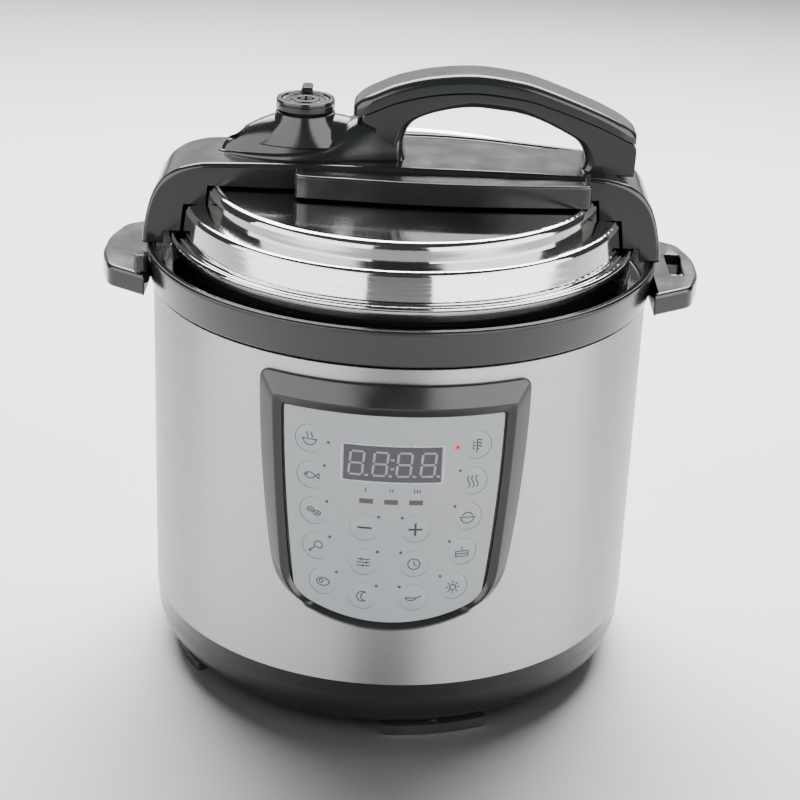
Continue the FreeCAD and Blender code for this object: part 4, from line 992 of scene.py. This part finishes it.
def ribbon(line: Array, width: float) -> tuple[Array, list[list[int]]]:
    """Flat ribbon along a line: each point is moved half the width to both sides of the tangent.

    Args:
        line: Points of the centre line, two coordinates per row.
        width: Width of the ribbon.

    Returns:
        The ribbon's points and its faces.
    """
    ahead = np.vstack([line[1:] - line[:-1], line[-1:] - line[-2:-1]])
    behind = np.vstack([line[1:2] - line[:1], line[1:] - line[:-1]])
    tangent = ahead / np.linalg.norm(ahead, axis=1, keepdims=True)
    tangent = tangent + behind / np.linalg.norm(behind, axis=1, keepdims=True)
    tangent /= np.maximum(np.linalg.norm(tangent, axis=1, keepdims=True), 1e-9)
    side = np.stack([-tangent[:, 1], tangent[:, 0]], axis=1) * width / 2
    ends = line.copy()
    ends[0] -= tangent[0] * width * 0.35
    ends[-1] += tangent[-1] * width * 0.35
    points = np.empty((2 * len(line), 2))
    points[0::2], points[1::2] = ends + side, ends - side
    faces = [[2 * k, 2 * k + 1, 2 * k + 3, 2 * k + 2] for k in range(len(line) - 1)]
    return points, faces


def dense(line: Array) -> Array:
    """A line with four more points in each of its spans."""
    spots = np.linspace(0, len(line) - 1, 5 * (len(line) - 1) + 1)
    return points_at(line, np.arange(len(line)), spots)


def print_on_panel(name: str, lines: Sequence[Array], width: float, arc: float, height: float, lift: float,
                   body: str, finish: Finish, dome: float = 0.0, reach: float = 1.0) -> bpy.types.Object:
    """Thin print on the curved panel, made of ribbons round a centre.

    On a domed key a point at distance d is raised by dome * cos(d pi / (2 reach)) ^ 0.8.

    Args:
        name: Name of the piece.
        lines: Centre lines relative to the centre, in metres.
        width: Ribbon width.
        arc: Arc length of the centre from the panel's middle.
        height: Height of the centre.
        lift: Radius of the print's outer face.
        body: Body that the print rides on.
        finish: Its finish.
        dome: Height of the key's dome, none for a flat print.
        reach: Radius of the key.

    Returns:
        The dressed piece.
    """
    verts, faces, start = [], [], 0
    for line in lines:
        points, quads = ribbon(dense(line), width)
        verts.append(points)
        faces.extend([[start + v for v in quad] for quad in quads])
        start += len(points)
    flat = np.vstack(verts)
    q = np.clip(np.linalg.norm(flat, axis=1) / reach, 0.0, 1.0)
    place = on_cylinder(arc + flat[:, 0], height + flat[:, 1], lift + dome * np.cos(q * math.pi / 2) ** 0.8)
    obj = mesh_object(name, place, faces)
    thick = obj.modifiers.new("ink", "SOLIDIFY")
    thick.thickness = 0.05 * MM
    thick.offset = 0.0
    bpy.context.view_layer.update()
    apply_modifiers(obj)
    return fit(obj, body, finish, "window_tint")


@dataclass
class Keypad:
    """Sixteen soft round keys with a shallow dome and their legends."""

    radius: float = 7.4 * MM
    dome: float = 0.55 * MM
    line: float = 0.55 * MM
    icons: dict[str, Icon] = field(default_factory=lambda: dict(
        soup_key=Icon.BOWL, fish_key=Icon.FISH, beans_key=Icon.BEANS, poultry_key=Icon.DRUMSTICK,
        meat_key=Icon.STEAK, multigrain_key=Icon.GRAIN, steam_key=Icon.STEAM, rice_key=Icon.RICE,
        cake_key=Icon.CAKE, keep_warm_key=Icon.WARM, minus_key=Icon.MINUS, plus_key=Icon.PLUS,
        adjust_key=Icon.ADJUST, delay_key=Icon.CLOCK, slow_cook_key=Icon.MOON, saute_key=Icon.PAN))

    def place(self, name: str) -> tuple[float, float]:
        """Arc length and height of a key's centre, from its node's box."""
        low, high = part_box(name)
        middle = (low + high) / 2
        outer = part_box("panel_overlay")[0].y
        angle = math.atan2(middle.x, math.sqrt(outer * outer - middle.x * middle.x))
        return angle * M.shell, middle.z

    def cap(self, name: str) -> None:
        """Key cap with its legend: a shallow dome that sinks to a groove at the rim.

        The radius over the body's axis is film + dome * cos(q pi / 2) ^ 0.8 for q = distance / radius, with
        the last tenth turned down below the film.
        """
        arc, height = self.place(name)
        film = -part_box("panel_overlay")[0].y
        q = np.concatenate([[0.004], np.linspace(0.08, 0.9, 12), [0.94, 0.97, 0.99, 1.0, 1.0]])
        lift = self.dome * np.cos(np.clip(q, 0, 1) * math.pi / 2) ** 0.8
        lift[-4:] -= np.array([0.02, 0.06, 0.14, 0.9]) * MM
        a = np.linspace(0, 2 * math.pi, 56, endpoint=False)
        s = arc + self.radius * q[:, None] * np.cos(a)
        z = height + self.radius * q[:, None] * np.sin(a)
        grid = on_cylinder(s, z, film + lift[:, None] + 0 * a)
        key = grid_object(name + "_cap", grid, wrap_columns=True, caps=True)
        fit(key, name + "_cap", Finish.FILM, "key_film", name)
        strokes = [stroke * self.radius for stroke in icon_strokes(self.icons[name])]
        bold = 1.9 if self.icons[name] in (Icon.MINUS, Icon.PLUS) else 1.0
        print_on_panel(name + "_legend", strokes, self.line * bold, arc, height, film + 0.02 * MM,
                       name + "_cap", Finish.PRINT, self.dome, self.radius)

    def build(self) -> None:
        """All keys."""
        for name in self.icons:
            self.cap(name)


@dataclass
class Display:
    """Seven-segment digits on the tinted window, its border, the level marks and the lit lamp."""

    digit: tuple[float, float] = (6.6 * MM, 12.6 * MM)
    pitch: float = 11.6 * MM
    line: float = 1.15 * MM
    slant: float = 0.08
    bar_pitch: float = 12.5 * MM
    tick_pitch: float = 1.3 * MM
    tick_height: float = 1.6 * MM
    mark_drop: float = 5.6 * MM
    lamp_radius: float = 1.15 * MM

    def segments(self, x: float) -> list[Array]:
        """Seven strokes of a digit centred at x, with small gaps, leaning to the right."""
        half_w, half_h = self.digit[0] / 2, self.digit[1] / 2
        gap = 0.9 * MM
        spans = [((-half_w + gap, h), (half_w - gap, h)) for h in (-half_h, 0.0, half_h)]
        spans += [((side * half_w, low + gap), (side * half_w, low + half_h - gap))
                  for side in (-1, 1) for low in (-half_h, 0.0)]
        lines = [np.array(span) for span in spans]
        return [np.stack([x + line[:, 0] + self.slant * line[:, 1], line[:, 1]], axis=1) for line in lines]

    def build(self) -> None:
        """Digits, decimal points and colon as one print, then the border, the level marks and the lamp."""
        low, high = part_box("display_window")
        film = -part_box("panel_overlay")[0].y
        height = (low.z + high.z) / 2
        lines = []
        for place in (-1.5, -0.5, 0.5, 1.5):
            lines += self.segments(place * self.pitch)
        dot = 0.5 * MM
        for x, z in ((0.0, 2.4 * MM), (0.0, -2.4 * MM)):
            lines.append(np.array([(x - dot, z), (x + dot, z)]))
        for place in (-1.5, -0.5, 0.5, 1.5):
            x = place * self.pitch + self.digit[0] / 2 + 1.6 * MM
            lines.append(np.array([(x - dot, -self.digit[1] / 2), (x + dot, -self.digit[1] / 2)]))
        print_on_panel("display_digits", lines, self.line, 0.0, height, film + 0.06 * MM, "base",
                       Finish.SEGMENT)
        side, rise = high.x + 0.6 * MM, (high.z - low.z) / 2 + 0.5 * MM
        frame_line = rounded_line([(-side, -rise), (side, -rise), (side, rise), (-side, rise)], [0.8 * MM] * 4,
                                  closed=True, steps=5)
        print_on_panel("display_border", [np.vstack([frame_line, frame_line[:1]])], 0.4 * MM, 0.0, height,
                       film + 0.05 * MM, "base", Finish.BORDER)
        bars = [(step * self.bar_pitch, count) for step, count in ((-1, 1), (0, 2), (1, 3))]
        ticks = []
        for middle, count in bars:
            for x in middle + self.tick_pitch * (np.arange(count) - (count - 1) / 2):
                ticks.append(np.array([(x, 0.0), (x, self.tick_height)]))
        print_on_panel("level_marks", ticks, 0.5 * MM, 0.0, low.z - self.mark_drop, film + 0.05 * MM, "base",
                       Finish.PRINT)
        arc, level = Keypad().place("multigrain_key")
        turn = np.linspace(0, 2 * math.pi, 33)
        ring = self.lamp_radius * np.stack([np.cos(turn), np.sin(turn)], axis=1)
        print_on_panel("lit_lamp", [ring], 0.8 * MM, arc - 9.6 * MM, level - 0.6 * MM, film + 0.1 * MM,
                       "base", Finish.LAMP)


# ---------------------------------------------------------------- lid furniture
def lofted_band(name: str, inner: Array, outer: Array, half: float | Array, inner_r: float, outer_r: float,
                steps: int = 6) -> bpy.types.Object:
    """Band carried along two lines in the XZ plane, with a rounded rectangle as its section.

    At each station the section lies between the inner and the outer point and from -half to +half along Y. A
    corner of radius r is the quarter circle whose centre is r inside both sides, so a section point is
    inner + u (outer - inner) / |outer - inner| at the side y.

    Args:
        name: Name of the piece.
        inner: Inner point of each station (x, z).
        outer: Outer point of each station.
        half: Half width, one value or one per station.
        inner_r: Radius of the two inner corners.
        outer_r: Radius of the two outer corners.
        steps: Spans in each corner.

    Returns:
        The linked object.
    """
    across = outer - inner
    length = np.linalg.norm(across, axis=1)
    unit = across / length[:, None]
    half = np.broadcast_to(half, length.shape)
    room = 0.48 * np.minimum(length, 2 * half)
    inner_r, outer_r = np.minimum(inner_r, room), np.minimum(outer_r, room)
    quarter = np.linspace(0.0, math.pi / 2, steps + 1)
    u, y = [], []
    for sign, radius, far, turns in ((1, inner_r, 0, quarter), (1, outer_r, 1, quarter[::-1]),
                                     (-1, outer_r, 1, quarter), (-1, inner_r, 0, quarter[::-1])):
        inset = radius[:, None] * (1 - np.cos(turns))
        u.append(length[:, None] - inset if far else inset)
        y.append(sign * (half[:, None] - radius[:, None] * (1 - np.sin(turns))))
    u, y = np.hstack(u), np.hstack(y)
    grid = np.stack([inner[:, 0:1] + unit[:, 0:1] * u, y, inner[:, 1:2] + unit[:, 1:2] * u], axis=-1)
    return grid_object(name, grid, wrap_columns=True, caps=True)


@dataclass
class Bridge:
    """Long black bridge over the lid, with ends turned down outside the brim, and its wing plate."""

    half_width: float = 26.0 * MM
    crown: float = 1.5 * MM
    rim: float = 2.6 * MM
    end_drop: float = 1.3 * MM
    step_drop: float = 10.2 * MM
    brim_drop: float = 25.1 * MM
    dish: tuple[float, float] = (1.6 * MM, 1.2 * MM)

    def side_lines(self) -> tuple[Array, Array]:
        """Inner and outer line of the side view, point against point: the lid's steps and the crowned top."""
        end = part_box("lid_bridge")[1].x
        low = M.collar_top + self.end_drop
        top = M.bridge_top
        reach = M.brim
        brim_top = M.lid_top - self.brim_drop
        step = M.lid_top - self.step_drop
        under = M.lid_top + 0.4 * MM
        outer = smooth_line([(0.0, top + self.crown), (0.45 * reach, top + 0.8 * self.crown),
                             (0.78 * reach, top + 0.1 * MM), (reach - 17 * MM, top - 0.8 * MM),
                             (reach - 6.5 * MM, top - 4.0 * MM), (reach + 2.0 * MM, top - 10.5 * MM),
                             (reach + 7.6 * MM, top - 20.5 * MM), (end - 0.9 * MM, low + 9.0 * MM),
                             (end, low)], 14)
        corners = np.array([(0.0, under), (reach - 22.6 * MM, under), (reach - 21.6 * MM, step),
                            (reach - 10.0 * MM, step), (reach - 8.0 * MM, brim_top),
                            (reach + 0.6 * MM, brim_top), (reach + 1.0 * MM, low)])
        facing = np.array([0.0, reach - 24 * MM, reach - 17 * MM, reach - 4 * MM, reach + 2.5 * MM,
                           end - 1.6 * MM, end])
        run = run_of(outer)
        marks = np.interp(facing, outer[:, 0], run)
        share = np.linspace(0, len(corners) - 1, 12 * (len(corners) - 1) + 1)
        count = np.arange(len(corners))
        inner = points_at(corners, count, share)
        outer = points_at(outer, run, np.interp(share, count, marks))
        flip = np.array([-1.0, 1.0])
        return np.vstack([inner[::-1][:-1] * flip, inner]), np.vstack([outer[::-1][:-1] * flip, outer])

    def beam(self) -> None:
        """Band between the two side lines, with rounded edges along the top."""
        inner, outer = self.side_lines()
        beam = lofted_band("bridge_moulding", inner, outer, self.half_width, 0.35 * MM, self.rim)
        weighted(beam)
        fit(beam, "lid", Finish.BLACK, "black_plastic", "lid_bridge")

    def wings(self) -> None:
        """Wing plate with bowed front and rear edges, rounded corners and a shallow tray."""
        low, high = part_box("bridge_plate")
        middle = middle_x("bridge_plate")
        line = [(low.x, -self.half_width - 15 * MM), (middle, low.y - 1.2 * MM),
                (high.x, -self.half_width - 15 * MM), (high.x, self.half_width + 2 * MM),
                (middle, high.y + 4.0 * MM), (low.x, self.half_width + 15 * MM)]
        radii = [5 * MM, 420 * MM, 4 * MM, 5 * MM, 160 * MM, 7 * MM]
        outline = rounded_line(line, radii, closed=True, steps=16)
        outline = even_line(outline, 220, closed=True)
        wings = slab_object("wing_moulding", outline, low.z, high.z, 1.3 * MM, steps=4, low_radius=0.6 * MM,
                            dish=self.dish)
        fit(wings, "lid", Finish.BLACK, "black_plastic", "bridge_plate")

    def build(self) -> None:
        """Beam and wings."""
        self.beam()
        self.wings()


@dataclass
class Handle:
    """Arched grip: a two-legged arch and the crowned cap over it."""

    half_width: float = 14.0 * MM
    nose: float = 13.6 * MM
    cap_thickness: float = 9.0 * MM
    thickness: float = 17.4 * MM
    left_leg: float = 13.5 * MM
    right_leg: float = 26.5 * MM
    edge: float = 6.8 * MM
    end_round: float = 11.0 * MM
    stations: int = 150
    arch_stations: int = 160

    def ends(self) -> tuple[float, float]:
        """Left root and right end of the arch."""
        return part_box("valve_cover")[1].x + 0.5 * MM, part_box("handle_cap")[1].x

    def crown(self) -> float:
        """Height of the handle's highest point."""
        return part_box("handle_cap")[1].z - 0.25 * MM

    def upper(self, drop: float) -> Array:
        """Upper line from the nose over the crown to the right shoulder, lowered by drop, less to the right."""
        left, right = self.ends()
        span = right - left
        crown = self.crown()
        line = [(left - self.nose, crown - 16.8 * MM - 1.02 * drop),
                (left - 0.01 * span, crown - 10.8 * MM - 1.05 * drop),
                (left + 0.07 * span, crown - 6.2 * MM - 1.04 * drop),
                (left + 0.20 * span, crown - 1.9 * MM - 1.02 * drop), (left + 0.36 * span, crown - drop),
                (left + 0.50 * span, crown - 1.7 * MM - 0.97 * drop),
                (left + 0.62 * span, crown - 5.3 * MM - 0.93 * drop),
                (left + 0.84 * span, crown - 16.4 * MM - 0.85 * drop),
                (right, crown - 27.0 * MM - 0.8 * drop)]
        return smooth_line(line, 12)

    def opening(self) -> Array:
        """Finger opening from its left foot over the crown to its right foot."""
        left, right = self.ends()
        left += self.left_leg
        right -= self.right_leg
        span = right - left
        top = M.bridge_top
        crown = self.crown() - self.thickness
        return smooth_line([(left + 3 * MM, top - 1.5 * MM), (left + 0.3 * MM, top + 3.0 * MM),
                            (left - 0.6 * MM, top + 12 * MM), (left + 0.05 * span, top + 22.5 * MM),
                            (left + 0.2 * span, crown - 2.4 * MM), (left + 0.40 * span, crown),
                            (left + 0.66 * span, crown - 3.0 * MM), (left + 0.86 * span, crown - 10.6 * MM),
                            (left + 0.96 * span, top + 14 * MM), (right, top + 4.0 * MM),
                            (right - 3 * MM, top - 1.5 * MM)], 12)

    def cap(self) -> None:
        """Cap between the upper line and the parting line, its ends rounded in plan and in side view.

        Near an end the half width loses r (1 - sin q) with cos q = 1 - d / r for the distance d from the end.
        """
        upper = even_line(self.upper(0.0), self.stations)
        lower = even_line(self.upper(self.cap_thickness), self.stations)
        run = run_of(upper)
        spread = np.linspace(0, 1, self.stations)
        fine = np.interp(spread, [0.0, 0.08, 0.92, 1.0], [0.0, 0.03, 0.97, 1.0]) * run[-1]
        upper, lower = points_at(upper, run, fine), points_at(lower, run, fine)
        near = np.minimum(fine, run[-1] - fine)
        share = np.clip(1 - near / self.end_round, 0, 1)
        bow = 1 - np.sqrt(np.maximum(1 - share ** 2, 0.0))
        half = self.half_width - 6.0 * MM * bow
        inward = lower - upper
        upper = upper + inward * (0.36 * bow)[:, None]
        lower = lower - inward * (0.26 * bow * (lower[:, 0] < 0))[:, None]
        cap = lofted_band("handle_cap_moulding", lower, upper, half, 0.6 * MM, self.edge, steps=8)
        weighted(cap)
        fit(cap, "lid", Finish.BLACK, "black_plastic", "handle_cap")

    def arch(self) -> None:
        """Two legs and the underside of the grip, flush under the cap's parting line.

        Stations pair points of the opening with points of the outer line at equal shares of their lengths.
        """
        left, right = self.ends()
        top = M.bridge_top
        seam = 0.35 * MM
        parting = self.upper(self.cap_thickness + seam)
        foot_left = np.array([(left - 1.0 * MM, top - 2.0 * MM), (left - 1.5 * MM, top + 18.5 * MM),
                              (left - 7.0 * MM, top + 21.0 * MM), (left - 9.0 * MM, top + 22.0 * MM)])
        foot_right = np.array([(right - 0.2 * MM, parting[-1, 1] - 4.0 * MM),
                               (right - 0.5 * MM, top - 2.0 * MM)])
        middle = parting[(parting[:, 0] > left - 8.5 * MM) & (parting[:, 0] < right - 1.0 * MM)]
        outer = np.vstack([foot_left, middle, [[right - 0.4 * MM, parting[-1, 1] - 0.6 * MM]], foot_right])
        inner = self.opening()
        bend = np.linspace(0.0, 1.0, self.arch_stations)
        outer = self.shared(outer, np.interp(bend, [0.0, 0.16, 0.80, 1.0], [0.0, 0.14, 0.89, 1.0]))
        inner = self.shared(inner, np.interp(bend, [0.0, 0.16, 0.80, 1.0], [0.0, 0.20, 0.82, 1.0]))
        arch = lofted_band("handle_arch_moulding", inner, outer, self.half_width - 0.3 * MM, 5.0 * MM,
                           0.5 * MM)
        weighted(arch)
        fit(arch, "lid", Finish.BLACK, "black_plastic", "handle_arch")

    @staticmethod
    def shared(line: Array, shares: Array) -> Array:
        """Points of a line at shares of its length."""
        run = run_of(line)
        return points_at(line, run, shares * run[-1])

    def build(self) -> None:
        """Cap and arch."""
        self.cap()
        self.arch()


@dataclass
class ValveIsland:
    """Boat-shaped valve cover with a skirt line, a round neck and the sight hole of the float."""

    half_width: float = 19.0 * MM
    neck: float = 16.5 * MM
    root: float = 12.6 * MM

    def hull(self, name: str, inset: float, low: float, heights: Array, power: float) -> bpy.types.Object:
        """Boat hull lofted along X.

        A section at x has the half width w(x) and height h(x); its points are
        (w |cos t|^(2/p), low + h |sin t|^(2/p)) with the signs of cos t and sin t.

        Args:
            name: Name of the piece.
            inset: How much narrower than the plan it is.
            low: Height of its foot.
            heights: Rows of (share of the length, height over the foot).
            power: Power p of the section.

        Returns:
            The linked object.
        """
        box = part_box("valve_cover")
        nose, tail = box[0].x + inset, box[1].x + self.root
        share = np.concatenate([[0.0, 0.004, 0.015, 0.035], np.linspace(0.06, 1.0, 40)])
        x = nose + (tail - nose) * share
        plan = np.array([(0.0, 0.0), (0.004, 0.10), (0.015, 0.2), (0.035, 0.30), (0.09, 0.50), (0.18, 0.72),
                         (0.29, 0.90), (0.40, 0.985), (0.5, 1.0), (0.66, 0.97), (0.86, 0.80), (1.0, 0.715)])
        width = np.interp(share, plan[:, 0], plan[:, 1]) * (self.half_width - inset)
        kernel = np.array([0.25, 0.5, 0.25])
        for _ in range(3):
            width[2:-2] = np.convolve(width, kernel, "same")[2:-2]
        height = np.interp(share, heights[:, 0], heights[:, 1])
        for _ in range(4):
            height[2:-2] = np.convolve(height, kernel, "same")[2:-2]
        t = np.linspace(0.0, math.pi, 41)
        y = np.sign(np.cos(t)) * np.abs(np.cos(t)) ** (2 / power)
        z = np.abs(np.sin(t)) ** (2 / power)
        grid = np.stack([x[:, None] + 0 * t, width[:, None] * y, low + height[:, None] * z], axis=-1)
        return grid_object(name, grid, wrap_columns=True, caps=True)

    def hill(self, x: float, top: float) -> bpy.types.Object:
        """Neck that spreads into the dome: ellipses whose half axes grow downwards, much faster along X.

        Args:
            x: Place of its axis.
            top: Height of its flat top.

        Returns:
            The linked object.
        """
        t = np.linspace(0.0, 1.0, 24)
        rim, side = [self.neck - 1.7 * MM, self.neck - 1.0 * MM], self.neck - 0.8 * MM
        along = np.concatenate([rim, side + 16 * MM * t ** 1.6])
        across = np.concatenate([rim, side + 2.9 * MM * t])
        drop = np.concatenate([[0.0, 0.2 * MM], 0.9 * MM + 15.0 * MM * t])
        turn = np.linspace(0, 2 * math.pi, 96, endpoint=False)
        grid = np.stack([x + along[:, None] * np.cos(turn), across[:, None] * np.sin(turn),
                         top - drop[:, None] + 0 * turn], axis=-1)
        return grid_object("valve_neck", grid, wrap_columns=True, caps=True)

    def cutters(self, float_x: float, top: float) -> list[bpy.types.Object]:
        """Slanting sight hole and the float's well, as closed bodies."""
        cone = np.array([(0.0, -8 * MM), (5.6 * MM, -8 * MM), (6.2 * MM, 12 * MM), (0.0, 12 * MM)])
        sight = spun("sight", cone, closed=False, turns=48)
        sight.data.transform(Matrix.Translation((float_x - 3.5 * MM, 0, top + 9 * MM))
                             @ Matrix.Rotation(math.radians(-30), 4, "Y"))
        rod = np.array([(0.0, -3 * MM), (6.0 * MM, -3 * MM), (6.0 * MM, 8 * MM), (0.0, 8 * MM)])
        well = spun("well", rod, closed=False, turns=48)
        well.data.transform(Matrix.Translation((float_x, 0, top)))
        return [sight, well]

    def build(self) -> None:
        """Skirt, dome and neck, with the sight hole and the float's well cut through skirt and dome."""
        top = M.bridge_top
        dome_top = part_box("valve_cover")[1].z - 3 * MM
        skirt = self.hull("valve_skirt", 0.0, top - 1.0 * MM,
                          np.array([(0.0, 1.2), (0.1, 4.4), (0.3, 6.8), (0.47, 9.4), (0.57, 12.0),
                                    (0.65, 16.5), (0.73, 22.0), (0.80, 24.0),
                                    (1.0, 25.0)]) * np.array([1, MM]), 2.9)
        dome = self.hull("valve_dome", 1.6 * MM, top - 1.0 * MM,
                         np.array([(0.0, 1.5), (0.0206, 6.6), (0.05, 9.6), (0.0866, 12.2), (0.1515, 15.8),
                                   (0.2165, 19.0), (0.281, 21.6), (0.32, 22.8), (0.62, 23.2), (0.74, 21.0),
                                   (1.0, 10.0)]) * np.array([1, MM]), 2.15)
        neck = self.hill(middle_x("exhaust_pipe"), dome_top + 3 * MM)
        for hull in (skirt, dome):
            carve(hull, self.cutters(middle_x("float_valve"), top))
        for obj, name in ((skirt, "valve_cover"), (dome, None), (neck, None)):
            weighted(obj)
            fit(obj, "lid", Finish.BLACK, "black_plastic", *([name] if name else []))


@dataclass
class Knob:
    """Steam knob: grooved disc with a recessed top, a centre boss and a thumb tab pointing back."""

    radius: float = 15.5 * MM
    tab_rise: float = 2.0 * MM

    def build(self) -> None:
        """Spun disc plus a rounded tab."""
        low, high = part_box("pressure_knob")
        r, disc_low, top = self.radius, low.z, high.z - self.tab_rise
        line = [(9.2 * MM, disc_low), (r - 0.8 * MM, disc_low), (r, disc_low + 0.8 * MM),
                (r, top - 2.6 * MM), (r - 0.7 * MM, top - 2.2 * MM),
                (r - 0.7 * MM, top - 1.8 * MM), (r, top - 1.4 * MM), (r - 0.4 * MM, top), (r - 2.6 * MM, top),
                (r - 3.2 * MM, top - 1.3 * MM), (7.6 * MM, top - 1.3 * MM), (7.2 * MM, top - 0.4 * MM),
                (4.6 * MM, top - 0.4 * MM), (4.2 * MM, top - 2.4 * MM), (0.02 * MM, top - 2.4 * MM)]
        profile = rounded_line(line, [0.3 * MM] * len(line), steps=3)
        disc = spun("knob_disc", profile, closed=False, turns=96)
        tab_line = rounded_line([(-3.0 * MM, r - 3.5 * MM), (3.0 * MM, r - 3.5 * MM), (3.0 * MM, r + 7.6 * MM),
                                 (-3.0 * MM, r + 7.6 * MM)], [0.4 * MM, 0.4 * MM, 2.4 * MM, 2.4 * MM],
                                closed=True, steps=5)
        tab = slab_object("knob_tab", even_line(tab_line, 60, closed=True), disc_low + 1.0 * MM, high.z,
                          0.9 * MM)
        knob = merged("steam_knob", [disc, tab])
        knob.data.transform(Matrix.Translation((middle_x("pressure_knob"), 0, 0)))
        weighted(knob)
        fit(knob, "knob", Finish.BLACK, "black_plastic", "pressure_knob")


# ---------------------------------------------------------------- plain finishes of the frame's nodes
NODE_FINISH: dict[Finish, tuple[str, ...]] = {
    Finish.CHARCOAL: ("base_pan", "top_collar"),
    Finish.FRAME: ("panel_frame",),
    Finish.FOOT: ("feet",),
    Finish.ZINC: ("base_screws", "pot_brackets", "heat_shield", "outer_pot", "heating_element", "sensor_spring",
                  "ring_rack", "exhaust_pipe", "exhaust_nut", "anti_block_shield", "float_valve", "lid_screws",
                  "knob_weight"),
    Finish.POT: ("inner_pot",),
    Finish.SHELL: ("outer_shell",),
    Finish.CAST: ("heating_plate", "sensor_cap"),
    Finish.BRASS: ("inlet_pins",),
    Finish.BOARD: ("control_board", "power_board"),
    Finish.WIRE: ("wiring",),
    Finish.SILICONE: ("sealing_ring", "float_seal"),
    Finish.BLACK: ("lid_bridge", "bridge_plate", "valve_cover", "handle_arch", "handle_cap", "pressure_knob",
                   "interlock_slider", "lid_sensor", "pressure_switch", "power_inlet", "display_module"),
    Finish.FILM: ("panel_overlay", "membrane_circuit"),
    Finish.TINT: ("display_window",),
    Finish.DIM: ("indicator_leds",),
    Finish.LID: ("lid_shell",),
    Finish.CUP: ("condensate_cup",),
}


def dress_nodes() -> None:
    """Give every node of the frame its finish, keys included."""
    for finish, names in NODE_FINISH.items():
        for name in names:
            dress(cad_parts[name], finish)
    for name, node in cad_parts.items():
        if name.endswith("_key"):
            dress(node, Finish.FILM)


def main() -> None:
    """Build the studio and every sub-assembly in order."""
    logging.basicConfig(level=logging.INFO, format="%(message)s")
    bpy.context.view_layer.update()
    dress_nodes()
    Studio().build()
    for part in (Collar(), Panel(), Bridge(), Handle(), ValveIsland(), Knob()):
        part.build()


if __name__ == "__main__":
    main()
